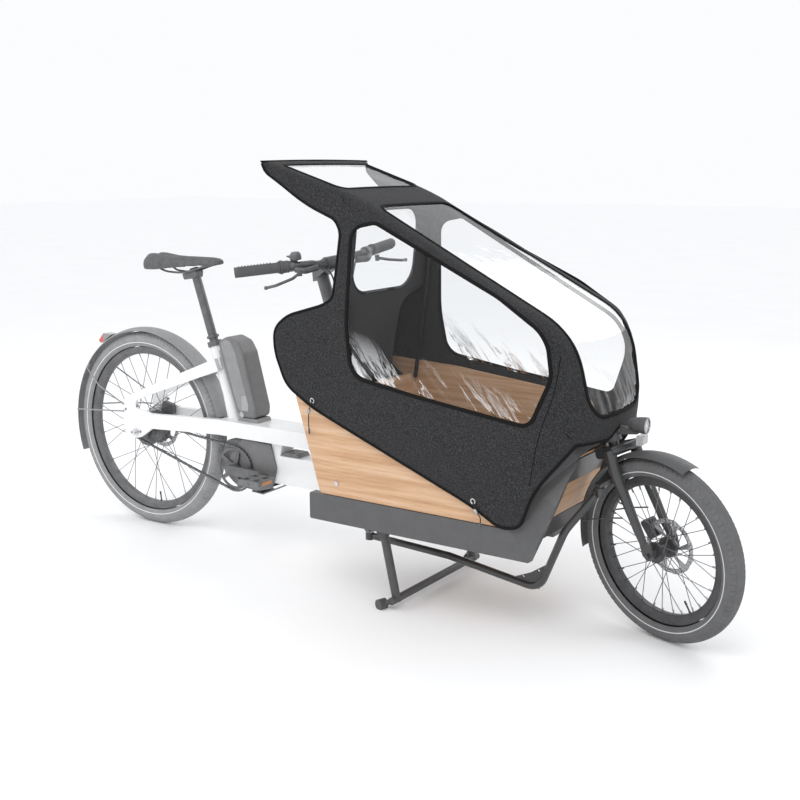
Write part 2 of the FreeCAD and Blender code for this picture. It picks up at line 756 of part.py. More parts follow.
def box():
    outer = size("rail_outer_y") - 4
    thick = size("board_thickness")
    floor_z = RAIL_FLOOR + 26.2
    boards = [
        slab("XY", [(x0, -233), (x1, -233), (x1, 233), (x0, 233)], floor_z, 10)
        for x0, x1 in ((1056, 1299), (1300, 1604))
    ]
    node("box_floor", group(*boards))
    side = [(968, 321.5, 14), (1608, 321.5), (1640, 400, 10), (1610, 590, 30), (1470, 612, 60),
            (1130, 648, 60), (872, 660, 16), (884, 600, 30)]
    node("box_sides", group(*pair("XZ", side, outer - thick, thick)))
    half = outer - thick - 1
    rear = slab("XZ", [(1058, 322), (1070, 322), (972, 612), (960, 612)], -half, 2 * half)
    panel = loft([
        [Vector(1656, -184, 320), Vector(1656, 184, 320), Vector(1645, 184, 324),
         Vector(1645, -184, 324)],
        [Vector(1700, -124, 424), Vector(1700, 124, 424), Vector(1689, 124, 428),
         Vector(1689, -124, 428)],
    ])
    seat_board = block((1086, -238, 420), (1300, 238, 432))
    support = block((1288, -200, 275), (1298, 200, 419.8))
    node("box_boards", group(rear, panel, seat_board, support))
    screws = []
    for s in (-1, 1):
        for x, z in ((1030, 360), (1560, 345)):
            screws.append(rod(Vector(x, s * outer, z), Vector(x, s * (outer + 3), z), 7))
    node("box_screws", group(*screws))


# ---------------------------------------------------------------- steering

def fork():
    steerer = rod(on_axis(FORK_POINT, 514), on_axis(FORK_POINT, 608), 14.32)
    bridge = slab("XZ", [(-24, -12, 10), (46, -12, 10), (44, 14, 8), (-22, 14, 8)], -56, 112)
    lean = 90 - size("head_angle")
    bridge.Placement = Placement(on_axis(FORK_POINT, 515), Rotation(Vector(0, 1, 0), -lean))
    legs = []
    for s in (-1, 1):
        top = on_axis(FORK_POINT, 530) + Vector(29, s * 50, 0)
        knee = on_axis(FORK_POINT, 468) + Vector(29, s * 51, 0)
        shin = Vector(BASE - 34, s * 53, FRONT_R + 60)
        foot = Vector(BASE - 15, s * 54, FRONT_R + 28)
        legs += [rod(top, knee, 16), ball(knee, 16), cone(knee, shin, 16, 12), ball(shin, 12),
                 cone(shin, foot, 12, 10)]
        plate = slab("XZ", [(-30, 34, 8), (-18, -4, 10), (0, -17, 12), (16, -6, 10), (6, 34, 8)],
                     s * 54 - 3.5, 7)
        plate.Placement = Placement(FRONT_AXLE, Rotation())
        legs.append(plate)
    axle = rod(FRONT_AXLE + Vector(0, -64, 0), FRONT_AXLE + Vector(0, 64, 0), 6.1)
    head = FORK_BALL + Vector(0, 0, 14)
    arm = loft([
        [head + Vector(-12, -9, 0), head + Vector(10, -12, 0), head + Vector(10, -12, 9),
         head + Vector(-12, -9, 9)],
        [FORK_BALL + Vector(-2, 30, 24), FORK_BALL + Vector(28, 22, 24),
         FORK_BALL + Vector(28, 22, 40), FORK_BALL + Vector(-2, 30, 40)],
    ])
    node("fork", join(steerer, bridge, *legs, arm, axle), FORK)
    caliper = slab("XZ", [(-38, 21, 6), (-73, 64, 8), (-97, 46, 8), (-62, 2, 8)], 25.5, 32.5)
    caliper.Placement = Placement(FRONT_AXLE, Rotation())
    slot = rod(FRONT_AXLE + Vector(0, 32.3, 0), FRONT_AXLE + Vector(0, 35.6, 0), 83)
    node("front_caliper", less(caliper, slot), FORK)


def steering_rod():
    rear_end = COLUMN_BALL + Vector(0, 0, -14)
    front_end = FORK_BALL + Vector(0, 0, -2)
    # the bends keep clear of the front wheel; they are set out at the rest angle
    bends = [Vector(1300, -60, 131), Vector(1618, -86, 100), Vector(1712, -122, 300)]
    bends = [p - BALL_TRAVEL for p in bends]
    bar = pipe([rear_end + Vector(16, 0, 0), *bends, front_end + Vector(-12, -6, -12)],
               cell("rod_radius"), 60)
    eyes = [
        rod(rear_end + Vector(0, 0, -12), rear_end + Vector(0, 0, 12), 14),
        rod(front_end + Vector(0, 0, -14), front_end + Vector(0, 0, 12), 12),
    ]
    # a flat web stiffens the inside of the lower bend
    heel = bends[1]
    back = (bends[0] - heel).normalize()
    rise = (bends[2] - heel).normalize()
    square = back.cross(rise).normalize() * 2
    corners = [heel + back * 104, heel, heel + rise * 104, heel + back * 46 + rise * 46]
    web = loft([[c - square for c in corners], [c + square for c in corners]])
    holes = []
    for centre in (heel + back * 62 + rise * 24, heel + back * 24 + rise * 62):
        holes.append(rod(centre - square * 5, centre + square * 5, 4))
    node("steering_rod", join(bar, *eyes, less(web, *holes)), ROD)


def handlebar():
    foot = on_axis(COLUMN_POINT, 196)
    crown = on_axis(COLUMN_POINT, 950)
    shaft = rod(foot, on_axis(COLUMN_POINT, 660), 16)
    riser = rod(on_axis(COLUMN_POINT, 642), crown, 20)
    tip = COLUMN_BALL + Vector(0, 0, 2)
    arm = loft([
        [tip + Vector(-12, -12, 0), tip + Vector(12, -12, 0), tip + Vector(12, -12, 9),
         tip + Vector(-12, -12, 9)],
        [foot + Vector(-16, 6, -10), foot + Vector(16, 6, -10), foot + Vector(16, 6, 8),
         foot + Vector(-16, 6, 8)],
    ])
    clamp = Vector(848, 0, size("bar_height"))
    stem = loft([
        [crown + Vector(-22, -20, -28), crown + Vector(-22, 20, -28), crown + Vector(-22, 20, 22),
         crown + Vector(-22, -20, 22)],
        [clamp + Vector(-6, -24, -20), clamp + Vector(-6, 24, -20), clamp + Vector(-6, 24, 20),
         clamp + Vector(-6, -24, 20)],
    ])
    jaw = rod(clamp + Vector(0, -24, 0), clamp + Vector(0, 24, 0), 22)
    bore = rod(clamp + Vector(0, -30, 0), clamp + Vector(0, 30, 0), 15.95)
    collar = less(join(stem, jaw), bore, rod(foot, crown, 20.05))
    node("steering_column", group(join(shaft, riser, arm), collar), BARS)

    middle = rod(clamp + Vector(0, -40, 0), clamp + Vector(0, 40, 0), cell("bar_clamp_radius"))
    wings = []
    ends = []
    for s in (-1, 1):
        line = [clamp + Vector(0, s * 38, 0), clamp + Vector(2, s * 74, 10),
                clamp + Vector(6, s * 108, 13), clamp + Vector(-79, s * 295, 12)]
        wings.append(pipe(line, cell("bar_tube_radius"), 60))
        wings.append(cone(clamp + Vector(0, s * 38, 0), clamp + Vector(1, s * 62, 6.7), 15.9, 10.3))
        ends.append((line[2], line[3]))
    node("handlebar", join(middle, *wings), BARS)

    grips = []
    perches = []
    for s, (start, end) in zip((-1, 1), ends):
        along = (end - start).normalize()
        inner = end - along * 132
        sleeve = less(join(rod(inner, end + along * 4, 16), rod(inner, inner + along * 5, 18.5)),
                      rod(start, end, 11.2))
        grips.append(sleeve)
        perch = end - along * 170
        ring = rod(perch - along * 8, perch + along * 8, 17)
        body = pipe([perch + Vector(17, 0, -9), perch + Vector(36, -s * 22, -16),
                     perch + Vector(40, -s * 66, -12)], 9.5, 20)
        perches.append(less(join(ring, body), rod(start, end, 11.15)))
    node("grips", group(*grips), BARS)
    node("brake_perches", group(*perches), BARS)

    for name, s, (start, end) in (("brake_lever_right", -1, ends[0]), ("brake_lever_left", 1, ends[1])):
        along = (end - start).normalize()
        pivot = end - along * 170 + Vector(50, s * 6, -16)
        line = [pivot + Vector(-1, 0, 0), pivot + Vector(12, s * 34, -10),
                pivot + Vector(6, s * 92, -22), pivot + Vector(-8, s * 118, -26)]
        blade = join(pipe(line, 4.5, 30), rod(pivot + Vector(0, 0, -9), pivot + Vector(0, 0, 9), 7),
                     ball(line[-1], 6))
        node(name, blade, BARS)

    start, end = ends[0]
    along = (end - start).normalize()
    inner = end - along * 132
    twist = less(join(rod(inner - along * 28, inner - along * 1, 18.5),
                      rod(inner - along * 9, inner - along * 1, 21)), rod(start, end, 11.3))
    node("shifter", twist, BARS)
    bell_spot = end - along * 184
    dome = turned([(0.1, -12), (17, -12), (18, -8), (17, 4), (12, 11), (0.1, 13)],
                  Vector(0, 0, 0))
    dome.Placement = Placement(bell_spot + Vector(0, 0, 30), Rotation(Vector(1, 0, 0), 90))
    strap = less(rod(bell_spot - along * 4, bell_spot + along * 4, 13.2),
                 rod(bell_spot - along * 9, end, 11.15))
    foot = rod(bell_spot + Vector(0, 0, 13), bell_spot + Vector(0, 0, 19), 6)
    node("bell", join(dome, strap, foot), BARS)
    thumb = bell_spot + Vector(-21.5, 0, 22)
    lever = join(rod(thumb + Vector(0, 0, -5), thumb + Vector(0, 0, 5), 2.6),
                 loft([[thumb + Vector(-2, -4, -2), thumb + Vector(-2, 4, -2),
                        thumb + Vector(-2, 4, 2), thumb + Vector(-2, -4, 2)],
                       [thumb + Vector(-16, -9, 3), thumb + Vector(-16, 5, 3),
                        thumb + Vector(-16, 5, 6), thumb + Vector(-16, -9, 6)]]))
    node("bell_lever", lever, BARS)

# ---------------------------------------------------------------- headlight, stand, canopy

def headlight():
    spot = Vector(1862, 0, 592)
    shell = turned([(0.1, -24), (14, -24), (20, -8), (23, 14), (23, 26), (19, 26), (17, 12),
                    (0.1, 4)], Vector(0, 0, 0))
    shell.Placement = Placement(spot, Rotation(Vector(0, 0, 1), -90))
    bracket = slab("XZ", [(1811, 560), (1862, 566), (1862, 574), (1811, 586)], -6, 12)
    node("headlight", join(shell, bracket))
    lens = rod(spot + Vector(12.5, 0, 0), spot + Vector(24, 0, 0), 17)
    reflector = slab("XZ", [(1864, 565, 3), (1884, 565, 3), (1884, 538, 6), (1864, 538, 3)], -17, 34)
    node("lamp_lenses", group(lens, reflector))


def stand():
    """Two legs that swing together on an axle, with a bar between them and a pad foot each."""
    tube = cell("stand_tube_radius")
    pieces = [
        rod(Vector(1217, -247, 27), Vector(1217, 247, 27), 11.5),
        rod(Vector(1172, -214, 226), Vector(1172, 214, 226), 8),
    ]
    for s in (-1, 1):
        foot = less(rod(Vector(1189, s * 237, 14), Vector(1181, s * 261, 14), 16),
                    block((1100, -400, -20), (1300, 400, 0)))
        pieces += [
            rod(Vector(1172, s * 218, 226), Vector(1219, s * 218, 19), tube),
            rod(Vector(1172, s * 231, 226), Vector(1172, s * 205, 226), 17),
            rod(Vector(1217, s * 236, 26), Vector(1186, s * 246, 15), 8),
            foot,
        ]
    node("stand", join(*pieces))


def inset(corners, margins):
    """The outline moved inwards, each edge by its own margin. Edge i runs from corner i to
    the next one; a negative margin moves it outwards."""
    count = len(corners)
    area = sum(corners[i - 1][0] * corners[i][1] - corners[i][0] * corners[i - 1][1]
               for i in range(count))
    turn = 1 if area > 0 else -1
    lines = []
    for i in range(count):
        (u0, v0), (u1, v1) = corners[i][:2], corners[(i + 1) % count][:2]
        length = math.hypot(u1 - u0, v1 - v0)
        du, dv = (u1 - u0) / length, (v1 - v0) / length
        shift = margins[i] * turn
        lines.append((u0 - dv * shift, v0 + du * shift, du, dv))
    moved = []
    for i in range(count):
        u0, v0, a, b = lines[i - 1]
        u1, v1, c, d = lines[i]
        step = ((u1 - u0) * d - (v1 - v0) * c) / (a * d - b * c)
        radius = corners[i][2] if len(corners[i]) > 2 else 0
        moved.append((u0 + a * step, v0 + b * step, radius))
    return moved


# side view of the cover: hem from rear to front, front edge, roof, visor, rear wings
HEM = [(852, 640, 14), (950, 583), (1500, 372), (1590, 322, 20), (1650, 330, 16)]
FRONT = [(1775, 562), (1790, 635), (1752, 850, 60)]
ROOF = [(1075, 1198, 40), (776, 1293)]
PILLAR = [(884, 1180), (1004, 1136), (1040, 1096), (1018, 905)]
WING = [(980, 884, 20), (850, 846, 30), (800, 806, 24), (806, 736, 30)]
# sections that narrow the cover: leaning sides, and a taper towards the bow
ACROSS = [(-270, 250), (-270, 560), (-228, 1200), (-310, 1400), (310, 1400), (228, 1200),
          (270, 560), (270, 250)]
PLAN = [(700, -281), (1500, -280), (1668, -272), (1800, -185), (1900, -110), (1900, 110),
        (1800, 185), (1668, 272), (1500, 280), (700, 281)]


def cover(depth):
    """The cover's solid outline, `depth` inside its outer face and open where cloth ends."""
    open_edge = -60 if depth else 0
    margins = (
        [open_edge] * len(HEM) + [depth] * len(FRONT) + [depth]
        + [0 if not depth else -2] + [open_edge / 4] * 2 + [depth] + [open_edge / 20] * 5
    )
    side = HEM + FRONT + ROOF + PILLAR + WING
    side = inset(side, margins[:len(side)]) if depth else side
    across = inset(ACROSS, [depth] * len(ACROSS)) if depth else ACROSS
    plan = inset(PLAN, [depth] * len(PLAN)) if depth else PLAN
    body = common(slab("XZ", side, -300, 600), slab("YZ", across, 600, 1400))
    return common(body, slab("XY", plan, 200, 1300))


def window_tools(margin):
    """Solids that cut the five windows, or with a margin the panes that fit in them."""
    m = margin
    side = [(1080, 1106, 45), (1160, 1122, 40), (1560, 940, 300), (1704, 850, 90),
            (1716, 740, 90), (1668, 612, 34), (1330, 654, 500), (1100, 692, 50), (1078, 800, 200)]
    side = inset(side, [m] * len(side))
    return [
        slab("XZ", side, -320, 640),
        block((1132 + m, -186 + m, 640 + m), (1840, 186 - m, 1300)),
        block((832 + m, -176 + m, 1150), (1026 - m, 176 - m, 1400)),
        block((1005, -160 + m, 915 + m), (1062, 160 - m, 1150 - m)),
    ]


def build_canopy():
    shell = less(cover(0), cover(size("canopy_thickness")))
    wall = [
        slab("XZ", [(1018, 905), (1021, 905), (966, 666), (963, 666)], -130, 260),
        slab("XZ", [(1040, 1094), (1043, 1094), (1052, 1196), (1049, 1196)], -229, 458),
    ]
    # the rear wall's outer parts run back to the rear edges of the two sides
    for side in (-1, 1):
        sections = []
        for z, edge in ((666, 840), (731, 809), (783, 808), (835, 852), (884, 982), (905, 1016)):
            middle = 963 + 55 * (z - 666) / 239
            y = side * (269 - 42 * (z - 560) / 640)
            sections.append([Vector(middle, side * 130, z), Vector(edge, y, z),
                             Vector(edge + 3, y, z), Vector(middle + 3, side * 130, z)])
        wall.append(loft(sections))
    bow_notch = block((1700, -64, 300), (1850, 64, 614))
    fabric = less(join(shell, *wall), *window_tools(0), bow_notch)
    node("canopy_fabric", fabric)
    layer = less(cover(1), cover(1 + size("window_thickness")))
    panes = [common(layer, tool) for tool in window_tools(0.5)]
    node("canopy_windows", group(*panes))
    poles = []
    for s in (-1, 1):
        line = [Vector(985, s * 234, 600), Vector(1058, s * 222, 1080), Vector(1096, s * 210, 1168),
                Vector(1728, s * 194, 836), Vector(1762, s * 168, 700), Vector(1756, s * 166, 592)]
        poles.append(pipe(line, cell("pole_radius")))
    cross = rod(Vector(1100, -204, 1164), Vector(1100, 204, 1164), 5)
    node("canopy_poles", group(*poles, cross))


# where each elastic cord leaves the cover, and how it hangs: (x, z) from its eyelet down
CORDS = {
    "rear": [(954, 603), (951, 588), (946, 572), (944, 552), (941, 534), (941, 516)],
    "front": [(1506, 386), (1511, 374), (1519, 361), (1528, 352), (1533, 342), (1531, 330)],
}
CORD_Y = {"rear": (270.4, 274, 276.5, 275, 272, 270), "front": (272.6, 276, 278, 276, 274, 273)}


def told(name, points):
    """Print a bent line's length and bend radii, and give its length back."""
    wire = route(points)
    bends = [round(e.Curve.Radius, 1) for e in wire.Edges if isinstance(e.Curve, Part.Circle)]
    print(name, "length", round(wire.Length, 1), "bend radii", bends)
    return wire.Length


def fastenings():
    lengths = []
    eyelets = []
    cords = []
    locks = []
    for s in (-1, 1):
        for name, path in CORDS.items():
            ys = CORD_Y[name]
            centre = Vector(path[0][0], s * (ys[0] - 1.4), path[0][1])
            ring = turned([(4.4, -0.8), (8.5, -0.8), (8.5, 0.8), (4.4, 0.8)], centre)
            eyelets.append(ring)
            line = [Vector(x, s * y, z) for (x, z), y in zip(path, ys)]
            cords.append(pipe(line, cell("cord_radius")))
            lengths.append(told(name + " cord", line))
            run = (line[3] - line[1]).normalize() * 6
            locks.append(less(rod(line[2] - run, line[2] + run, 5.5),
                              rod(line[2] - run * 2, line[2] + run * 2, 2.6)))
            down = (line[-1] - line[-2]).normalize()
            locks.append(rod(line[-1], line[-1] + down * 16, 2.6))
    node("canopy_eyelets", group(*eyelets))
    node("canopy_cords", group(*cords))
    node("cord_locks", group(*locks))
    return sum(lengths) * math.pi * size("cord_radius") ** 2


def hoses():
    """Brake hoses from the perches down the column into the frame."""
    lines = []
    for s in (-1, 1):
        lines.append(pipe([
            Vector(877, s * 74, 989), Vector(902, s * 48, 976), Vector(905, s * 34, 940),
            Vector(880, s * 33, 880), Vector(880, s * 31, 810), Vector(898, s * 30, 740),
            Vector(922, s * 30, 672),
        ], 2.5))
    node("brake_hoses", group(*lines), BARS)


# ---------------------------------------------------------------- build and write

rear_wheel()
front_wheel()
drivetrain()
tube_low, tube_top, tube_line = rear_frame()
seat(tube_low, tube_top, tube_line)
drive()
rear_equipment()
front_equipment()
box_frame()
box()
fork()
steering_rod()
handlebar()
headlight()
stand()
build_canopy()
cord_volume = fastenings()
hoses()
doc.recompute()
print("cord volume", round(NODES["canopy_cords"].Shape.Volume, 1), "expected", round(cord_volume, 1))

broken = [o.Name + " " + o.Label for o in doc.Objects if "Invalid" in o.State or "Error" in o.State]
if broken:
    raise SystemExit("failed objects: " + ", ".join(broken))
os.makedirs("parts", exist_ok=True)
for label, piece in NODES.items():
    shape = piece.Shape
    if shape.isNull() or not shape.isValid() or not shape.Solids:
        raise SystemExit("not a valid solid: " + label)
    shape.exportStep(f"parts/{label}.step")
print(len(NODES), "sub-parts written")
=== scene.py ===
import json
import math

import bmesh
import bpy
import numpy as np
from mathutils import Matrix, Quaternion, Vector, noise
from mathutils.geometry import delaunay_2d_cdt
from mathutils.kdtree import KDTree


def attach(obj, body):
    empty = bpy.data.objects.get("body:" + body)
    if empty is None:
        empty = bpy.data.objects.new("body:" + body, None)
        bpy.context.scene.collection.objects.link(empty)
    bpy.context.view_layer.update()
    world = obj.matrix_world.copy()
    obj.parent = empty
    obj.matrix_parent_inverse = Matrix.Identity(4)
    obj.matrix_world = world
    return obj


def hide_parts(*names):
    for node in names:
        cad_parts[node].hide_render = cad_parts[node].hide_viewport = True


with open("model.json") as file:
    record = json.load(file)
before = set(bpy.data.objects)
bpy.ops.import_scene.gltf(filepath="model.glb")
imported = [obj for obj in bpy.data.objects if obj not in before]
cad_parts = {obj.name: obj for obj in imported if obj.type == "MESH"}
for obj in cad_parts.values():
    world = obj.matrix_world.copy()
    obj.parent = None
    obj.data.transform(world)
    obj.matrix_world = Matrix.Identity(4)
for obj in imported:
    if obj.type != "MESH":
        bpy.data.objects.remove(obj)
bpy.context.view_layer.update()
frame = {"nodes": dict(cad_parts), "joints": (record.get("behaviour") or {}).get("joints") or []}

# Lengths below are millimetres measured from the point under the rear axle unless a name
# says otherwise; at() turns such a point into the row's metres.
REAR_AXLE_X = 914.5
SHEET_THICK = 0.0018  # metres, the cover's cloth and the brake rotors alike


def at(x, y, z):
    """A point in metres in the row, from millimetres by the rear axle."""
    return Vector(((x - REAR_AXLE_X) / 1000, y / 1000, z / 1000))


# ---------------------------------------------------------------- camera, light, floor

def build_stage():
    """The camera, the soft lamps, the white surroundings and the floor."""
    camera = bpy.data.objects.new("camera", bpy.data.cameras.new("camera"))
    bpy.context.collection.objects.link(camera)
    yaw, pitch, roll = (math.radians(a) for a in (124.24, -11.52, -0.22))
    look = Vector((math.cos(pitch) * math.cos(yaw), math.cos(pitch) * math.sin(yaw),
                   math.sin(pitch)))
    turn = look.to_track_quat("-Z", "Y") @ Quaternion((0, 0, 1), roll)
    camera.matrix_world = Matrix.Translation(at(3064, -2910, 1291)) @ turn.to_matrix().to_4x4()
    camera.data.lens = 52.63
    camera.data.sensor_width = 36
    bpy.context.scene.camera = camera

    world = bpy.data.worlds.new("studio")
    world.use_nodes = True
    world.node_tree.nodes["Background"].inputs["Color"].default_value = (0.97, 0.98, 1, 1)
    world.node_tree.nodes["Background"].inputs["Strength"].default_value = 1.0
    bpy.context.scene.world = world
    bpy.context.scene.view_settings.view_transform = "Standard"

    for name, place, aim, wide, power in (
        ("key", (1.5, -3.2, 4.2), (0.2, 0, 0.6), 3.0, 60),
        ("fill", (-3.0, -2.5, 2.6), (-0.4, 0, 0.5), 2.6, 22),
        ("rim", (1.0, 3.4, 3.0), (0.1, 0, 0.7), 3.0, 30),
    ):
        lamp = bpy.data.lights.new(name, "AREA")
        lamp.shape = "DISK"
        lamp.size = wide
        lamp.energy = power
        holder = bpy.data.objects.new(name, lamp)
        bpy.context.collection.objects.link(holder)
        holder.location = place
        holder.rotation_euler = (Vector(aim) - Vector(place)).to_track_quat("-Z", "Y").to_euler()

    bpy.ops.mesh.primitive_plane_add(size=60, location=(0, 0, 0))
    floor = bpy.context.object
    floor.name = "floor"
    floor.data.materials.append(finish("floor_paint", (0.97, 0.972, 0.975), 0.75, mottle=0.01,
                                       scale=2))


# ---------------------------------------------------------------- material helpers

class Nodes:
    """A material's node tree, with short ways to add what most materials need."""

    def __init__(self, name):
        self.material = bpy.data.materials.new(name)
        self.material.use_nodes = True
        self.tree = self.material.node_tree
        self.shader = self.tree.nodes["Principled BSDF"]
        self.place = self.add("ShaderNodeTexCoord").outputs["Object"]

    def add(self, kind, **values):
        node = self.tree.nodes.new(kind)
        for key, value in values.items():
            setattr(node, key, value)
        return node

    def link(self, source, target):
        self.tree.links.new(source, target)

    def set(self, node, **values):
        for key, value in values.items():
            node.inputs[key.replace("_", " ")].default_value = value
        return node

    def stretched(self, stretch):
        mapping = self.add("ShaderNodeMapping")
        mapping.inputs["Scale"].default_value = stretch
        self.link(self.place, mapping.inputs["Vector"])
        return mapping.outputs["Vector"]

    def noise(self, scale, detail=3.0, rough=0.55, stretch=None):
        node = self.add("ShaderNodeTexNoise")
        self.set(node, Scale=scale, Detail=detail, Roughness=rough)
        self.link(self.stretched(stretch) if stretch else self.place, node.inputs["Vector"])
        return node.outputs["Fac"]

    def ramp(self, source, *stops):
        node = self.add("ShaderNodeValToRGB")
        bar = node.color_ramp
        while len(bar.elements) < len(stops):
            bar.elements.new(0.5)
        for element, (spot, colour) in zip(bar.elements, stops):
            element.position = spot
            element.color = (*colour, 1) if len(colour) == 3 else colour
        self.link(source, node.inputs["Fac"])
        return node.outputs["Color"]

    def span(self, source, low, high, start=0.0, stop=1.0):
        """A value that goes from low to high while the source goes from start to stop."""
        node = self.add("ShaderNodeMapRange")
        self.set(node, From_Min=start, From_Max=stop, To_Min=low, To_Max=high)
        self.link(source, node.inputs["Value"])
        return node.outputs["Result"]

    def sum(self, *sources):
        total = sources[0]
        for other in sources[1:]:
            node = self.add("ShaderNodeMath", operation="ADD")
            self.link(total, node.inputs[0])
            self.link(other, node.inputs[1])
            total = node.outputs[0]
        return total

    def math(self, operation, source, value):
        node = self.add("ShaderNodeMath", operation=operation)
        self.link(source, node.inputs[0])
        node.inputs[1].default_value = value if isinstance(value, (int, float)) else 0.0
        if not isinstance(value, (int, float)):
            self.link(value, node.inputs[1])
        return node.outputs[0]

    def along(self, letter):
        """The place along one axis, X, Y or Z."""
        apart = self.add("ShaderNodeSeparateXYZ")
        self.link(self.place, apart.inputs["Vector"])
        return apart.outputs[letter]

    def bump(self, source, strength, distance):
        node = self.add("ShaderNodeBump")
        self.set(node, Strength=strength, Distance=distance)
        self.link(source, node.inputs["Height"])
        self.link(node.outputs["Normal"], self.shader.inputs["Normal"])


def finish(name, colour, roughness, metal=0.0, mottle=0.06, scale=40, grain=0.0,
           grain_scale=900, coat=0.0):
    """A plain painted, moulded or metal finish with a little life in colour and gloss."""
    n = Nodes(name)
    n.set(n.shader, Metallic=metal, Coat_Weight=coat)
    dark = tuple(c * (1 - mottle) for c in colour)
    light = tuple(min(1, c * (1 + mottle)) for c in colour)
    n.link(n.ramp(n.noise(scale, 5), (0.35, dark), (0.65, light)), n.shader.inputs["Base Color"])
    n.link(n.span(n.noise(scale * 1.7, 4), roughness * 0.85, min(1, roughness * 1.15)),
           n.shader.inputs["Roughness"])
    if grain:
        n.bump(n.noise(grain_scale, 2), grain, 0.0004)
    return n.material


# ---------------------------------------------------------------- mesh helpers

def mesh_object(name, verts, faces, material=None, smooth=True):
    """A new object from points in metres and faces."""
    mesh = bpy.data.meshes.new(name)
    mesh.from_pydata([tuple(v) for v in verts], [], [tuple(f) for f in faces])
    mesh.validate()
    mesh.update()
    thing = bpy.data.objects.new(name, mesh)
    bpy.context.collection.objects.link(thing)
    if material:
        mesh.materials.append(material)
    if smooth:
        mesh.shade_smooth()
    return thing


def modify(thing, kind, **values):
    """Put a modifier on a thing, with its settings."""
    modifier = thing.modifiers.new(kind.lower(), kind)
    for key, value in values.items():
        setattr(modifier, key, value)


def rounded(corners, step=8.0):
    """A closed outline of (u, v, radius) corners as points, at most `step` apart."""
    points = []
    count = len(corners)
    for i, corner in enumerate(corners):
        p = np.array(corner[:2], float)
        before = np.array(corners[i - 1][:2], float) - p
        after = np.array(corners[(i + 1) % count][:2], float) - p
        radius = corner[2] if len(corner) > 2 else 0
        if not radius:
            points.append(p)
            continue
        a, b = before / np.linalg.norm(before), after / np.linalg.norm(after)
        half = math.acos(float(np.clip(a @ b, -1, 1))) / 2
        reach = min(radius / math.tan(half), 0.49 * min(np.linalg.norm(before),
                                                        np.linalg.norm(after)))
        size = reach * math.tan(half)
        middle = p + (a + b) / np.linalg.norm(a + b) * size / math.sin(half)
        start, end = p + a * reach - middle, p + b * reach - middle
        first = math.atan2(start[1], start[0])
        sweep = (math.atan2(end[1], end[0]) - first + math.pi) % (2 * math.pi) - math.pi
        parts = max(2, int(abs(sweep) * size / step) + 1)
        for k in range(parts + 1):
            angle = first + sweep * k / parts
            points.append(middle + size * np.array([math.cos(angle), math.sin(angle)]))
    return spaced(points, step, closed=True)


def spaced(points, step, closed=False):
    """The same line with extra points, so that no two neighbours are further apart."""
    out = []
    count = len(points)
    for i in range(count if closed else count - 1):
        a = np.array(points[i], float)
        b = np.array(points[(i + 1) % count], float)
        parts = max(1, math.ceil(np.linalg.norm(b - a) / step))
        out += [a + (b - a) * k / parts for k in range(parts)]
    if not closed:
        out.append(np.array(points[-1], float))
    return np.array(out)


def inside(points, outline):
    """Which points lie inside a closed outline, by counting the edges they cross."""
    x, y = points[:, 0][:, None], points[:, 1][:, None]
    a, b = outline, np.roll(outline, -1, axis=0)
    crosses = (a[:, 1] > y) != (b[:, 1] > y)
    slope = (b[:, 0] - a[:, 0]) / np.where(b[:, 1] == a[:, 1], 1e-9, b[:, 1] - a[:, 1])
    return (crosses & (x < a[:, 0] + (y - a[:, 1]) * slope)).sum(1) % 2 == 1


def near(points, outline, reach):
    """Which points are closer than `reach` to an outline's points."""
    gap = np.linalg.norm(points[:, None, :] - outline[None, :, :], axis=2).min(1)
    return gap < reach


def panel(outline, holes=(), pitch=13.0):
    """A flat triangulated panel: points and faces between an outline and its holes."""
    row_step = pitch * 0.866  # of an even grid of triangles
    clear = pitch * 0.55  # between the grid and an outline
    sliver = 0.02 * pitch ** 2  # twice the area of the smallest face kept
    low, high = outline.min(0), outline.max(0)
    rows = np.arange(low[1] + pitch / 2, high[1], row_step)
    grid = [(u + (pitch / 2 if i % 2 else 0), v) for i, v in enumerate(rows)
            for u in np.arange(low[0] + pitch / 3, high[0], pitch)]
    grid = np.array(grid)
    keep = inside(grid, outline) & ~near(grid, outline, clear)
    for hole in holes:
        keep &= ~inside(grid, hole) & ~near(grid, hole, clear)
    points = list(outline)
    edges = [(i, (i + 1) % len(outline)) for i in range(len(outline))]
    for hole in holes:
        base = len(points)
        points += list(hole)
        edges += [(base + i, base + (i + 1) % len(hole)) for i in range(len(hole))]
    points += list(grid[keep])
    verts, _, faces, *_ = delaunay_2d_cdt([Vector(p) for p in points], edges, [], 0, 1e-4)
    verts = np.array([tuple(v) for v in verts])
    faces = np.array([tuple(f) for f in faces])
    first, second = verts[faces[:, 1]] - verts[faces[:, 0]], verts[faces[:, 2]] - verts[faces[:, 0]]
    middle = verts[faces].mean(1)
    keep = inside(middle, outline)
    keep &= np.abs(first[:, 0] * second[:, 1] - first[:, 1] * second[:, 0]) > sliver
    for hole in holes:
        keep &= ~inside(middle, hole)
    return verts, faces[keep]


def quads(rows, size, loop_rows=True, loop_ring=True):
    """Faces between rows of points that follow each other, `size` points to a row."""
    return [(i * size + k, i * size + (k + 1) % size,
             (i + 1) % rows * size + (k + 1) % size, (i + 1) % rows * size + k)
            for i in range(rows if loop_rows else rows - 1)
            for k in range(size if loop_ring else size - 1)]


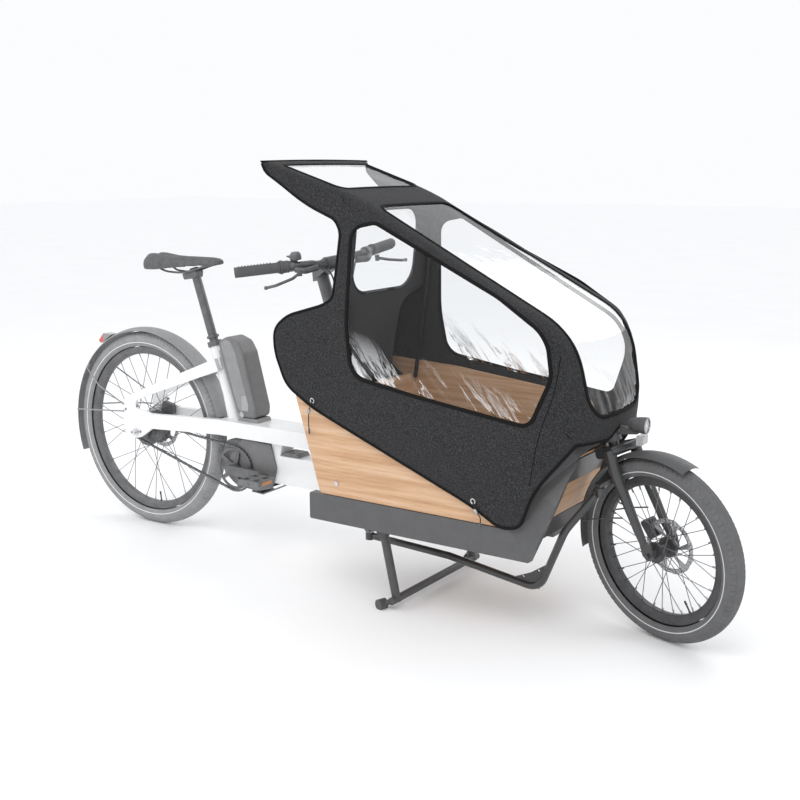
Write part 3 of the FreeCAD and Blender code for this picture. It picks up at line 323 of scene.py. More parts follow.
def swept(name, line, facing, across, out, material, closed=False):
    """A strip of round-cornered section swept along a line: `across` wide in the surface and
    `out` thick off it. `facing` gives the surface's normal at each point."""
    line = [Vector(p) for p in line]
    count = len(line)
    ring = [(math.cos(a), math.sin(a)) for a in np.linspace(0, 2 * math.pi, 10, endpoint=False)]
    size = len(ring)
    verts = []
    for i, p in enumerate(line):
        ahead = line[(i + 1) % count] if closed or i + 1 < count else p
        behind = line[i - 1] if closed or i else p
        along = (ahead - behind).normalized()
        up = Vector(facing[i]).normalized()
        side = along.cross(up).normalized()
        for c, s in ring:
            flat = (abs(c) ** 0.6) * math.copysign(1, c)
            verts.append(p + side * (flat * across / 2) + up * (s * out / 2))
    faces = quads(count, size, loop_rows=closed)
    if not closed:
        faces.append(tuple(range(size))[::-1])
        faces.append(tuple((count - 1) * size + k for k in range(size)))
    return mesh_object(name, verts, faces, material)


# ---------------------------------------------------------------- the canopy's shape

def bent(corners, step=8.0):
    """An open line of (u, v, radius) corners as points, its two ends kept."""
    loop = [(*c[:2], c[2] if len(c) > 2 else 0) for c in corners]
    points = [np.array(loop[0][:2], float)]
    for i in range(1, len(loop) - 1):
        p = np.array(loop[i][:2], float)
        before = np.array(loop[i - 1][:2], float) - p
        after = np.array(loop[i + 1][:2], float) - p
        a, b = before / np.linalg.norm(before), after / np.linalg.norm(after)
        reach = min(loop[i][2] * 1.4, 0.45 * np.linalg.norm(before), 0.45 * np.linalg.norm(after))
        if not reach:
            points.append(p)
            continue
        for t in np.linspace(0, 1, 9):
            points.append((1 - t) ** 2 * (p + a * reach) + 2 * t * (1 - t) * p
                          + t ** 2 * (p + b * reach))
    points.append(np.array(loop[-1][:2], float))
    return spaced(points, step)


# side view: the top edge from the visor's tip to the bow, then the lower edge back to it
TOP = bent([(776, 1293), (1075, 1198, 50), (1752, 850, 70), (1790, 635, 30), (1775, 562)])
LOWER = bent([
    (1775, 562), (1684, 437, 60), (1650, 334, 18), (1590, 322, 24), (1500, 372, 30),
    (950, 583, 60), (852, 640, 24), (806, 736, 40), (801, 804, 26), (850, 846, 34),
    (980, 884, 24), (1018, 905, 16), (1031, 1010, 40), (1040, 1096, 22), (1020, 1130, 22),
    (900, 1176, 60), (782, 1262, 40), (776, 1293),
])
SIDE_WINDOW = rounded([
    (1080, 1106, 45), (1160, 1122, 40), (1560, 940, 300), (1704, 850, 90), (1716, 740, 90),
    (1668, 612, 34), (1330, 654, 500), (1094, 690, 60), (1070, 830, 400),
], 7)


def averaged(value, keys, values, reach):
    """A broken line read as a smooth one: its mean over `reach` to each side."""
    spots = np.asarray(value, float)[..., None] + np.linspace(-reach, reach, 9)
    return np.interp(spots, keys, values).mean(-1)


def side_y(x, z):
    """Half the canopy's width at a point of the side view."""
    leaning = averaged(z, [250, 560, 1200, 1300], [270, 270, 228, 268], 35)
    tapering = averaged(x, [700, 1500, 1668, 1800, 1900], [281, 280, 272, 185, 110], 40)
    soft = 5.0
    return -soft * np.log(np.exp(-leaning / soft) + np.exp(-tapering / soft))


def on_side(sign):
    """Where a point of the side view lies on the left (1) or right (-1) side panel."""
    def place(x, z):
        x, z = np.asarray(x, float), np.asarray(z, float)
        return np.stack([x, sign * side_y(x, z), z], -1)
    return place


TOP_ARC = np.concatenate([[0], np.cumsum(np.linalg.norm(np.diff(TOP, axis=0), axis=1))])


# where the top edge passes a given x, or a given height, as a distance along it
def arc_x(x):
    return float(np.interp(x, TOP[:, 0][:-12], TOP_ARC[:-12]))


def arc_z(z):
    return float(np.interp(-z, -TOP[:, 1], TOP_ARC))


def on_top(a, y):
    """A point of the roof, windscreen and bow, by its distance along the top edge."""
    a, y = np.asarray(a, float), np.asarray(y, float)
    x, z = np.interp(a, TOP_ARC, TOP[:, 0]), np.interp(a, TOP_ARC, TOP[:, 1])
    ahead, behind = (np.stack([np.interp(a + step, TOP_ARC, TOP[:, i]) for i in (0, 1)], -1)
                     for step in (6, -6))
    along = ahead - behind
    along /= np.linalg.norm(along, axis=-1, keepdims=True)
    rise = np.interp(a, [0, 330, 1050, 1150, 1300, 1400], [3, 3, 7, 16, 28, 36])
    crown = rise * np.clip(1 - (y / side_y(x, z)) ** 2, 0, 1)
    return np.stack([x - along[..., 1] * crown, y, z + along[..., 0] * crown], -1)


def rear_edge():
    """The side panel's rear edge from the wing's foot up to the roof, and for each of its
    points the one on the middle of the rear wall."""
    start = int(np.argmin(np.linalg.norm(LOWER - (950, 583), axis=1)))
    end = int(np.argmin(np.linalg.norm(LOWER - (1040, 1094), axis=1)))
    edge = np.vstack([LOWER[start:end + 1], spaced([LOWER[end], (1048, 1192)], 8)[1:]])
    arc = np.concatenate([[0], np.cumsum(np.linalg.norm(np.diff(edge, axis=0), axis=1))])
    pairs = [((950, 583), (957, 588)), ((852, 640), (955, 640)), ((806, 736), (978, 730)),
             ((804, 806), (990, 785)), ((850, 846), (1001, 835)), ((980, 884), (1012, 884)),
             ((1018, 905), (1018, 905)), ((1040, 1096), (1040, 1096)),
             ((1048, 1192), (1048, 1192))]
    keys = [arc[int(np.argmin(np.linalg.norm(edge - p, axis=1)))] for p, _ in pairs]
    middle = np.stack([np.interp(arc, keys, [m[i] for _, m in pairs]) for i in (0, 1)], -1)
    return edge, middle, arc


REAR_EDGE, REAR_MIDDLE, REAR_ARC = rear_edge()


def on_back(a, t):
    """A point of the rear wall: a along its edge, t from -1 on the right to 1 on the left."""
    a, t = np.asarray(a, float), np.asarray(t, float)
    outer = [np.interp(a, REAR_ARC, REAR_EDGE[:, i]) for i in (0, 1)]
    inner = [np.interp(a, REAR_ARC, REAR_MIDDLE[:, i]) for i in (0, 1)]
    share = np.clip((np.abs(t) - 0.42) / 0.58, 0, 1) ** 1.7
    x = inner[0] + (outer[0] - inner[0]) * share
    z = inner[1] + (outer[1] - inner[1]) * share
    return np.stack([x, t * side_y(outer[0], outer[1]), z], -1)


def normals(place, u, v):
    """Unit normals of a surface at (u, v), by small steps."""
    du = place(u + 1.5, v) - place(u - 1.5, v)
    dv = place(u, v + 1.5) - place(u, v - 1.5)
    n = np.cross(du, dv)
    return n / np.linalg.norm(n, axis=-1, keepdims=True)


def metres(points):
    """Many such points at once, as an array."""
    return (np.asarray(points, float) - (REAR_AXLE_X, 0, 0)) / 1000


def grown(outline, reach):
    """A closed outline moved outwards by `reach`."""
    ahead, behind = np.roll(outline, -1, axis=0), np.roll(outline, 1, axis=0)
    along = ahead - behind
    along /= np.linalg.norm(along, axis=1, keepdims=True)
    out = np.stack([along[:, 1], -along[:, 0]], -1)
    area = np.sum(outline[:, 0] * ahead[:, 1] - ahead[:, 0] * outline[:, 1])
    return outline + out * reach * (1 if area > 0 else -1)


# the panes' outlines, as (distance along the surface, y)
def windscreen():
    top, bend, low = arc_x(1137), arc_x(1700), arc_z(628)
    return rounded([(top, -182, 34), (bend, -180, 300), (low, -158, 74), (low, 158, 74),
                    (bend, 180, 300), (top, 182, 34)], 7)


def skylight():
    rear, fore = arc_x(815), arc_x(1022)
    return rounded([(rear, -206, 12), (fore, -196, 34), (fore, 196, 34), (rear, 206, 12)], 7)


def back_window():
    low = float(np.interp(912, REAR_EDGE[:, 1][-60:], REAR_ARC[-60:]))
    high = float(np.interp(1152, REAR_EDGE[:, 1][-60:], REAR_ARC[-60:]))
    return rounded([(low, -160, 70), (high, -158, 56), (high, 158, 56), (low, 160, 70)], 7)


def top_outline():
    """The roof panel's own outline: both rails, the visor's rear edge and the bow's hem,
    which rises a little in the middle to clear the head lamp's bracket."""
    half = side_y(TOP[:, 0], TOP[:, 1])
    hem = front_hem()[1:-1]
    rear = [(0, y) for y in np.linspace(-half[0], half[0], 60)[1:-1]]
    left = list(zip(TOP_ARC, half))
    right = [(a, -y) for a, y in left[::-1]]
    return np.array(left + hem + right + rear)


def front_hem():
    """The bow's lower edge from its left end to its right, a little higher in the middle."""
    length = TOP_ARC[-1]
    end = float(side_y(*TOP[-1]))
    hem = [(length, y) for y in np.linspace(end, 70, 14)]
    hem += [(length - 26 * math.cos(math.pi * y / 140) ** 2, y) for y in np.linspace(66, 0, 9)]
    return hem + [(a, -y) for a, y in hem[::-1]][1:]


# ---------------------------------------------------------------- the canopy's pieces

def canopy_cloth():
    """Flecked dark woven cloth."""
    n = Nodes("canopy_cloth")
    n.set(n.shader, Roughness=0.95, Sheen_Weight=0.05, Sheen_Roughness=0.5, Specular_IOR_Level=0.2)
    fleck = n.noise(300, 3, 0.8)
    thread = n.noise(620, 2, 0.7, (1, 1, 0.4))
    tone = n.math("MULTIPLY", n.sum(fleck, fleck, thread), 1 / 3)
    n.link(n.ramp(tone, (0.36, (0.009, 0.009, 0.0095)), (0.50, (0.027, 0.027, 0.028)),
                  (0.64, (0.075, 0.075, 0.078))), n.shader.inputs["Base Color"])
    n.bump(n.sum(fleck, thread), 0.5, 0.0006)
    return n.material


def clear_film():
    """Soft clear sheet: most light passes, and the rest is a mirror-like gloss, strongest at
    a shallow angle and on the creases that gather along the panes' lower edges."""
    n = Nodes("clear_film")
    n.tree.nodes.remove(n.shader)
    through = n.add("ShaderNodeBsdfTransparent")
    n.set(through, Color=(0.96, 0.965, 0.965, 1))
    gloss = n.add("ShaderNodeBsdfGlossy")
    n.set(gloss, Roughness=0.07, Color=(1, 1, 1, 1))
    ripple = n.add("ShaderNodeBump")
    n.set(ripple, Strength=0.5, Distance=0.004)
    n.link(n.noise(14, 3, 0.5, (1, 1, 0.45)), ripple.inputs["Height"])
    n.link(ripple.outputs["Normal"], gloss.inputs["Normal"])
    facing = n.add("ShaderNodeLayerWeight")
    n.set(facing, Blend=0.5)
    n.link(ripple.outputs["Normal"], facing.inputs["Normal"])
    edge = n.span(n.math("POWER", facing.outputs["Facing"], 3.0), 0.02, 0.6)

    # creases: long streaks that run down and forwards, only near the lower edge
    turned = n.add("ShaderNodeMapping")
    n.set(turned, Rotation=(0, math.radians(-47), 0))
    n.link(n.place, turned.inputs["Vector"])
    long = n.add("ShaderNodeMapping")
    n.set(long, Scale=(3.2, 9, 30))
    n.link(turned.outputs["Vector"], long.inputs["Vector"])
    streak = n.add("ShaderNodeTexNoise")
    n.set(streak, Scale=1.0, Detail=4.0, Roughness=0.62, Distortion=0.5)
    n.link(long.outputs["Vector"], streak.inputs["Vector"])
    sharp = n.ramp(streak.outputs["Fac"], (0.535, (0, 0, 0)), (0.555, (1, 1, 1)),
                   (0.60, (0.05, 0.05, 0.05)), (0.66, (1, 1, 1)))
    height = n.sum(n.along("Z"), n.math("MULTIPLY", n.along("X"), 0.22))
    low = n.span(height, 1.0, 0.0, 0.72, 0.86)
    amount = n.math("MULTIPLY", n.math("MULTIPLY", sharp, low), 0.95)
    total = n.math("MINIMUM", n.sum(edge, amount), 0.95)
    mix = n.add("ShaderNodeMixShader")
    n.link(total, mix.inputs["Fac"])
    n.link(through.outputs["BSDF"], mix.inputs[1])
    n.link(gloss.outputs["BSDF"], mix.inputs[2])
    n.link(mix.outputs["Shader"], n.tree.nodes["Material Output"].inputs["Surface"])
    return n.material


def binding_tape():
    """Black tape, sewn along edges and seams."""
    n = Nodes("binding_tape")
    n.set(n.shader, Roughness=0.85, Specular_IOR_Level=0.25)
    weave = n.noise(700, 2)
    n.link(n.ramp(weave, (0.3, (0.001, 0.001, 0.001)), (0.7, (0.006, 0.006, 0.006))),
           n.shader.inputs["Base Color"])
    n.bump(weave, 0.4, 0.0004)
    return n.material


def surface_mesh(parts, weld=1.2):
    """One mesh from (points, faces) parts, with points nearer than `weld` joined."""
    points = np.vstack([p for p, _ in parts])
    offset, faces = 0, []
    for p, f in parts:
        faces.append(np.asarray(f) + offset)
        offset += len(p)
    faces = np.vstack(faces)
    tree = KDTree(len(points))
    for i, p in enumerate(points):
        tree.insert(p, i)
    tree.balance()
    index = np.full(len(points), -1)
    for i, p in enumerate(points):
        if index[i] < 0:
            for _, j, _ in tree.find_range(p, weld):
                if index[j] < 0:
                    index[j] = i
    faces = index[faces]
    good = (faces[:, 0] != faces[:, 1]) & (faces[:, 1] != faces[:, 2]) & (faces[:, 0] != faces[:, 2])
    faces = faces[good]
    used, faces = np.unique(faces, return_inverse=True)
    return points[used], faces.reshape(-1, 3)


def relaxed(points, faces, weight, rounds):
    """Points drawn towards the mean of their neighbours, each by its own weight."""
    edges = np.unique(np.sort(np.vstack([faces[:, [0, 1]], faces[:, [1, 2]], faces[:, [2, 0]]]),
                              axis=1), axis=0)
    count = np.bincount(edges.ravel(), minlength=len(points))[:, None]
    for _ in range(rounds):
        total = np.zeros_like(points)
        np.add.at(total, edges[:, 0], points[edges[:, 1]])
        np.add.at(total, edges[:, 1], points[edges[:, 0]])
        points = points + weight[:, None] * (total / np.maximum(count, 1) - points)
    return points


def open_points(points, faces):
    """Which points lie on an edge of the sheet or of a hole in it."""
    edges = np.sort(np.vstack([faces[:, [0, 1]], faces[:, [1, 2]], faces[:, [2, 0]]]), axis=1)
    pairs, count = np.unique(edges, axis=0, return_counts=True)
    flags = np.zeros(len(points), bool)
    flags[pairs[count == 1].ravel()] = True
    return flags


def waviness(points, size, height, seed):
    """A smooth random height at each point, for cloth that isn't quite flat."""
    return np.array([noise.noise(Vector(p) / size + Vector((seed, 0, 0))) for p in points]) * height


def gaps(points, line):
    """How far each point is from the nearest point of a line."""
    return np.concatenate([
        np.linalg.norm(points[start:start + 2000, None] - line[None], axis=2).min(1)
        for start in range(0, len(points), 2000)
    ])


def cover_surface():
    """The cloth as one sheet: both sides, the roof with its bow, and the rear wall."""
    outline = np.vstack([TOP[:-1], LOWER[:-1]])
    flat, faces = panel(outline, [SIDE_WINDOW])
    parts = []
    for sign in (-1, 1):
        spots = on_side(sign)(flat[:, 0], flat[:, 1])
        parts.append((spots, faces if sign < 0 else faces[:, ::-1]))
    flat, faces = panel(top_outline(), [windscreen(), skylight()])
    parts.append((on_top(flat[:, 0], flat[:, 1]), faces))
    half = 262.0  # of the rear wall, laid out flat
    domain = np.vstack([
        np.stack([REAR_ARC, np.full(len(REAR_ARC), half)], -1),
        [(REAR_ARC[-1], y) for y in np.linspace(half, -half, 60)[1:-1]],
        np.stack([REAR_ARC[::-1], np.full(len(REAR_ARC), -half)], -1),
        [(REAR_ARC[0], y) for y in np.linspace(-half, half, 60)[1:-1]],
    ])
    back = back_window()
    wide = side_y(*[np.interp(back[:, 0], REAR_ARC, REAR_EDGE[:, i]) for i in (0, 1)])
    flat, faces = panel(domain, [np.stack([back[:, 0], back[:, 1] / wide * half], -1)])
    parts.append((on_back(flat[:, 0], flat[:, 1] / half), faces))
    return surface_mesh(parts)


RAIL_SOFT, HEM_HELD = 42, 30  # how far in from a rail or from the lower edge


def softened(points, faces):
    """The sheet with its rails rounded and a little slack in it, its hems and holes held."""
    fixed = open_points(points, faces)
    rail, lower = (np.vstack([on_side(s)(line[:, 0], line[:, 1]) for s in (-1, 1)])
                   for line in (TOP, LOWER))
    hold = np.clip(gaps(points, lower) / HEM_HELD, 0, 1)
    weight = np.clip(1 - gaps(points, rail) / RAIL_SOFT, 0, 1) * 0.9
    weight[fixed] = 0.0
    points = relaxed(points, faces, weight, 10)
    points = relaxed(points, faces, np.where(fixed, 0.0, 0.35 * hold), 2)
    away = np.clip(np.abs(points[:, 1]) / 230, 0, 1)
    wave = (waviness(points, 110, 2.6, 3.0) + waviness(points, 45, 0.9, 9.0)) * hold
    wave[fixed] = 0
    points[:, 1] += wave * away * np.sign(points[:, 1])
    points[:, 2] += wave * (1 - away)
    return points


def edge_band(name, place, line, tape, across=11, out=4.6, closed=True):
    """A binding or seam along a line of the cloth."""
    u, v = line[:, 0], line[:, 1]
    strip = swept(name, metres(place(u, v)), normals(place, u, v), across / 1000, out / 1000,
                  tape, closed)
    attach(strip, "canopy")
    return strip


def pane(name, place, hole, crease, film):
    """A clear pane just inside the cloth, as far off it as crease says at each point."""
    flat, faces = panel(grown(hole, 4), pitch=9)
    spots, facing = place(flat[:, 0], flat[:, 1]), normals(place, flat[:, 0], flat[:, 1])
    out = facing * np.sign((facing * (spots - (1350, 0, 700))).sum(1))[:, None]
    spots = spots + out * (crease(flat, spots) - 1.6)[:, None]
    sheet = mesh_object(name, metres(spots), faces, film)
    modify(sheet, "SUBSURF", levels=1, render_levels=1)
    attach(sheet, "canopy")
    return sheet


def folds(flat, spots, low, reach, height, lean):
    """Creases that gather towards a pane's lower edge."""
    near_low = np.clip(1 - (spots[:, 2] - low) / reach, 0, 1) ** 1.5
    run = flat @ np.array([math.cos(lean), math.sin(lean)])
    cross = flat @ np.array([-math.sin(lean), math.cos(lean)])
    folded = [noise.noise(Vector((a / 150, b / 26, 2.0))) for a, b in zip(run, cross)]
    return -np.abs(np.array(folded)) * height * near_low


def side_creases(flat, spots):
    return folds(flat, spots, 610 + (1680 - spots[:, 0]) * 0.13, 150, 16, math.radians(-38))


def screen_creases(flat, spots):
    return folds(flat, spots, 640, 170, 14, math.radians(20))


def skylight_creases(flat, spots):
    return waviness(spots, 90, 2.0, 5.0) - 1


def back_creases(flat, spots):
    return waviness(spots, 90, 2.0, 7.0) - 1


def place_back(a, y):
    """A point of the rear wall by its distance from the middle in place of its share."""
    wide_here = side_y(np.interp(a, REAR_ARC, REAR_EDGE[:, 0]),
                       np.interp(a, REAR_ARC, REAR_EDGE[:, 1]))
    return on_back(a, y / wide_here)


def build_canopy():
    """The cloth cover with its five clear panes, their bindings, and its hems and seams."""
    cloth, film, tape = canopy_cloth(), clear_film(), binding_tape()
    points, faces = cover_surface()
    points = softened(points, faces)
    canopy = mesh_object("canopy", metres(points), faces, cloth)
    modify(canopy, "SOLIDIFY", thickness=SHEET_THICK, offset=-1)
    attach(canopy, "canopy")
    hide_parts("canopy_fabric")
    corners = points[faces]
    area = np.linalg.norm(np.cross(corners[:, 1] - corners[:, 0], corners[:, 2] - corners[:, 0]),
                          axis=1).sum() / 2e6
    print("canopy cloth, square metres:", round(area, 3))

    bands, panes = [], []
    right, left = on_side(-1), on_side(1)
    for group in (
        [("window_right", "window_binding_right", right, SIDE_WINDOW, side_creases)],
        [("window_left", "window_binding_left", left, SIDE_WINDOW, side_creases)],
        [("windscreen", "windscreen_binding", on_top, windscreen(), screen_creases),
         ("skylight", "skylight_binding", on_top, skylight(), skylight_creases)],
        [("back_window", "back_window_binding", place_back, back_window(), back_creases)],
    ):
        for _, binding, place, hole, _ in group:
            bands.append(edge_band(binding, place, grown(hole, 2.5), tape))
        for name, _, place, hole, crease in group:
            panes.append(pane(name, place, hole, crease, film))
    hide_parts("canopy_windows")

    half = float(side_y(*TOP[0]))
    visor = np.stack([np.zeros(50), np.linspace(-half, half, 50)], -1)
    pillar = bent([(1738, 800), (1726, 700, 200), (1692, 590, 200), (1672, 452)])
    corner = bent([(1724, 650), (1740, 606, 60), (1766, 580)])
    for name, place, line, across, out in (
        ("hem_right", right, LOWER[:-1], 8, 4.4),
        ("hem_left", left, LOWER[:-1], 8, 4.4),
        ("hem_visor", on_top, visor, 8, 4.4),
        ("hem_bow", on_top, np.array(front_hem()[::-1]), 8, 4.4),
        ("pillar_seam_right", right, pillar, 2.2, 1.2),
        ("corner_seam_right", right, corner, 2.2, 1.2),
        ("pillar_seam_left", left, pillar, 2.2, 1.2),
        ("corner_seam_left", left, corner, 2.2, 1.2),
    ):
        bands.append(edge_band(name, place, line, tape, across, out, closed=False))


# ---------------------------------------------------------------- finishes for the hard parts

def wood(name, stretch, bench=False):
    """Oiled plywood face: long soft grain with fine darker pores. For the bench inside the box, the
    wood takes a near-black ramp between its two ends: painted shade, for the dark inside of the
    covered box."""
    n = Nodes(name)
    n.set(n.shader, Roughness=0.5, Specular_IOR_Level=0.35)
    bands = n.noise(1.0, 5, 0.62, stretch)
    pores = n.noise(3.2, 4, 0.7, tuple(v * 2.6 for v in stretch))
    grain = n.math("MULTIPLY", n.sum(bands, bands, pores), 1 / 3)
    plain = n.ramp(grain, (0.34, (0.44, 0.25, 0.135)), (0.47, (0.57, 0.345, 0.20)),
                   (0.55, (0.64, 0.42, 0.265)), (0.68, (0.70, 0.50, 0.35)))
    if bench:
        # painted shade: a near-black wood ramp for the bench inside the covered box
        painted_shade = n.ramp(grain, (0.4, (0.012, 0.012, 0.012)), (0.6, (0.03, 0.03, 0.03)))
        bench_start, bench_end = at(1084, 0, 0).x, at(1302, 0, 0).x
        x = n.along("X")
        shade_mask = n.math("MULTIPLY", n.math("GREATER_THAN", x, bench_start),
                        n.math("LESS_THAN", x, bench_end))
        blend = n.add("ShaderNodeMix", data_type="RGBA")
        n.link(shade_mask, blend.inputs["Factor"])
        n.link(plain, blend.inputs[6])
        n.link(painted_shade, blend.inputs[7])
        plain = blend.outputs[2]
    n.link(plain, n.shader.inputs["Base Color"])
    n.bump(pores, 0.25, 0.0004)
    return n.material


def tail_lamp():
    """The tail lamp's grey housing, with its red lens along the rear."""
    n = Nodes("tail_lamp")
    n.set(n.shader, Roughness=0.25, Coat_Weight=0.6)
    lens_start, lens_end = at(-219, 0, 0).x, at(-217, 0, 0).x
    wandering = n.sum(n.along("X"), n.math("MULTIPLY", n.noise(300, 2), 0.001))
    lens_to_housing = n.span(wandering, 0.0, 1.0, lens_start, lens_end)
    n.link(n.ramp(lens_to_housing, (0.0, (0.62, 0.10, 0.07)), (0.5, (0.50, 0.07, 0.05)),
                  (0.6, (0.26, 0.26, 0.262)), (1.0, (0.28, 0.28, 0.282))),
           n.shader.inputs["Base Color"])
    return n.material


def dress():
    """A finish of its own for every CAD part that stays in view."""
    white = finish("white_paint", (0.84, 0.85, 0.85), 0.3, mottle=0.012, coat=0.35, grain=0.04)
    charcoal = finish("charcoal_paint", (0.085, 0.085, 0.087), 0.42, coat=0.15, grain=0.15,
                      grain_scale=1500)
    stand_paint = finish("stand_paint", (0.07, 0.07, 0.071), 0.45, grain=0.15)
    fork_paint = finish("fork_paint", (0.040, 0.040, 0.041), 0.32, coat=0.4, grain=0.05)
    front_plastic = finish("front_plastic", (0.075, 0.075, 0.076), 0.5, grain=0.2)
    rear_plastic = finish("rear_plastic", (0.275, 0.275, 0.277), 0.5, grain=0.2)
    rear_black = finish("rear_black", (0.13, 0.13, 0.132), 0.38, metal=0.25, mottle=0.15)
    front_black = finish("front_black", (0.06, 0.06, 0.062), 0.38, metal=0.25, mottle=0.15)
    bright = finish("bright_metal", (0.62, 0.62, 0.63), 0.28, metal=1, mottle=0.1, scale=90)
    disc = finish("rotor_steel", (0.55, 0.55, 0.56), 0.34, metal=1, mottle=0.14, scale=160)
    spoke = finish("spoke_steel", (0.16, 0.16, 0.165), 0.3, metal=0.8, mottle=0.1)
    drive = finish("drive_housing", (0.165, 0.165, 0.167), 0.45, grain=0.35, grain_scale=700)
    rubber = finish("soft_rubber", (0.10, 0.10, 0.101), 0.75, grain=0.4, grain_scale=500)
    dark = finish("inner_black", (0.012, 0.012, 0.0125), 0.4, metal=0.3)
    hose = finish("hose_black", (0.05, 0.05, 0.051), 0.5, grain=0.1)
    red = tail_lamp()
    lens = finish("lamp_glass", (0.33, 0.335, 0.34), 0.12, metal=0.35, mottle=0.12, scale=380,
                  coat=0.8)
    looks = {
        white: ["centre_frame", "chain_stays", "seat_stays", "seat_tube"],
        charcoal: ["box_rails", "box_frame", "front_arms"],
        stand_paint: ["stand"],
        fork_paint: ["fork", "steering_rod"],
        front_plastic: ["front_fender", "headlight"],
        rear_plastic: ["rear_fender", "battery_dock"],
        rear_black: ["rear_hub", "rear_caliper", "rear_rim", "crankset", "seatpost", "seat_clamp",
                     "handlebar", "brake_perches", "bell", "bell_lever", "brake_lever_right",
                     "brake_lever_left", "steering_column", "sprocket"],
        front_black: ["front_hub", "front_caliper", "front_rim"],
        bright: ["rear_axle", "box_screws", "canopy_eyelets", "cord_locks"],
        disc: ["rear_disc", "front_disc", "chain"],
        spoke: ["rear_spokes", "front_spokes"],
        drive: ["motor", "drive_covers", "battery", "pedal_right", "pedal_left"],
        rubber: ["grips", "shifter", "saddle", "rear_tyre", "front_tyre"],
        dark: ["canopy_poles", "canopy_cords"],
        hose: ["brake_hoses"],
        red: ["tail_light"],
        lens: ["lamp_lenses"],
        wood("side_wood", (2.2, 9, 60)): ["box_sides"],
        wood("floor_wood", (40, 2.5, 9)): ["box_floor"],
        # the bench inside the box gets painted shade, a near-black ramp between its two ends
        wood("board_wood_and_painted_shade", (30, 2.2, 30), bench=True): ["box_boards"],
    }
    for material, nodes in looks.items():
        for name in nodes:
            for place in frame["nodes"][name].material_slots:
                place.material = material


# ---------------------------------------------------------------- cords

CORD_ROUTES = {
    "rear": ((954, 270.4, 603), (951, 274, 588), (946, 276.5, 572), (944, 275, 552),
             (941, 272, 534), (941, 270, 516)),
    "front": ((1506, 272.6, 386), (1511, 276, 374), (1519, 278, 361), (1528, 276, 352),
              (1533, 274, 342), (1531, 273, 330)),
}


def lathe(name, profile, base, axis, material, body, segments=24):
    """A turned piece: (radius, height) corners in metres, spun round a line through base.
    A profile that starts off the line makes a ring with a hole."""
    axis = Vector(axis).normalized()
    across = axis.orthogonal().normalized()
    other = axis.cross(across)
    base = Vector(base)
    verts = []
    for k in range(segments):
        angle = 2 * math.pi * k / segments
        out = across * math.cos(angle) + other * math.sin(angle)
        verts += [base + out * r + axis * h for r, h in profile]
    n = len(profile)
    open_ring = profile[0][0] > 0.001
    faces = quads(segments, n, loop_ring=open_ring)
    if not open_ring:
        faces += [tuple(k * n for k in range(segments)),
                  tuple(k * n + n - 1 for k in range(segments))]
    piece = mesh_object(name, verts, faces, material)
    modify(piece, "EDGE_SPLIT", split_angle=math.radians(38))
    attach(piece, body)
    return piece


def build_cords():
    """Four hanging cords, each with its eyelet, its stop and its end."""
    elastic = finish("elastic_cord", (0.012, 0.012, 0.013), 0.8, grain=0.6, grain_scale=1600)
    ring = finish("eyelet_metal", (0.50, 0.50, 0.51), 0.25, metal=1, mottle=0.1, scale=300)
    bead = finish("bead_metal", (0.42, 0.42, 0.43), 0.35, metal=0.9, mottle=0.12, scale=300)
    tab = finish("cord_tab", (0.10, 0.10, 0.102), 0.5, grain=0.3)
    for sign, side in ((-1, "right"), (1, "left")):
        for spot, line in CORD_ROUTES.items():
            label = spot + "_" + side
            points = [at(x, sign * y, z) for x, y, z in line]
            curve = bpy.data.curves.new("cord_" + label, "CURVE")
            curve.dimensions = "3D"
            curve.bevel_depth = 0.0015
            curve.bevel_resolution = 3
            curve.use_fill_caps = True
            spline = curve.splines.new("NURBS")
            spline.points.add(len(points) - 1)
            for p, place in zip(spline.points, points):
                p.co = (*place, 1)
            spline.order_u = 3
            spline.use_endpoint_u = True
            spline.resolution_u = 12
            curve.materials.append(elastic)
            cord = bpy.data.objects.new("cord_" + label, curve)
            bpy.context.collection.objects.link(cord)
            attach(cord, "canopy")
            run = (points[3] - points[1]).normalized()
            stop = lathe("cord_stop_" + label,
                         [(0.0017, -0.0075), (0.0040, -0.0070), (0.0054, -0.0040), (0.0056, 0.0),
                          (0.0054, 0.0040), (0.0040, 0.0070), (0.0017, 0.0075)],
                         points[2], run, bead, "canopy")
            down = (points[5] - points[4]).normalized()
            end = lathe("cord_end_" + label,
                        [(0.0005, -0.003), (0.0026, -0.002), (0.0030, 0.003), (0.0030, 0.012),
                         (0.0022, 0.0155), (0.0005, 0.016)],
                        points[5], down, tab, "canopy")
            facing = Vector((0, sign, 0))
            eyelet = lathe("eyelet_" + label,
                           [(0.0042, -0.0012), (0.0044, 0.0006), (0.0054, 0.0016),
                            (0.0070, 0.0017), (0.0084, 0.0008), (0.0088, -0.0006),
                            (0.0080, -0.0014), (0.0042, -0.0012)],
                           at(line[0][0], sign * (line[0][1] - 1.4), line[0][2]), facing, ring,
                           "canopy", 32)
    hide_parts("canopy_cords")
    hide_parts("cord_locks")
    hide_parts("canopy_eyelets")


# ---------------------------------------------------------------- saddle

PADDING_VOXEL = 0.004  # metres
PADDING_PRESSURE = 4
PADDING_STEPS = 20
PADDING_SWELL = 0.003  # metres, the most that any point of the padding may move


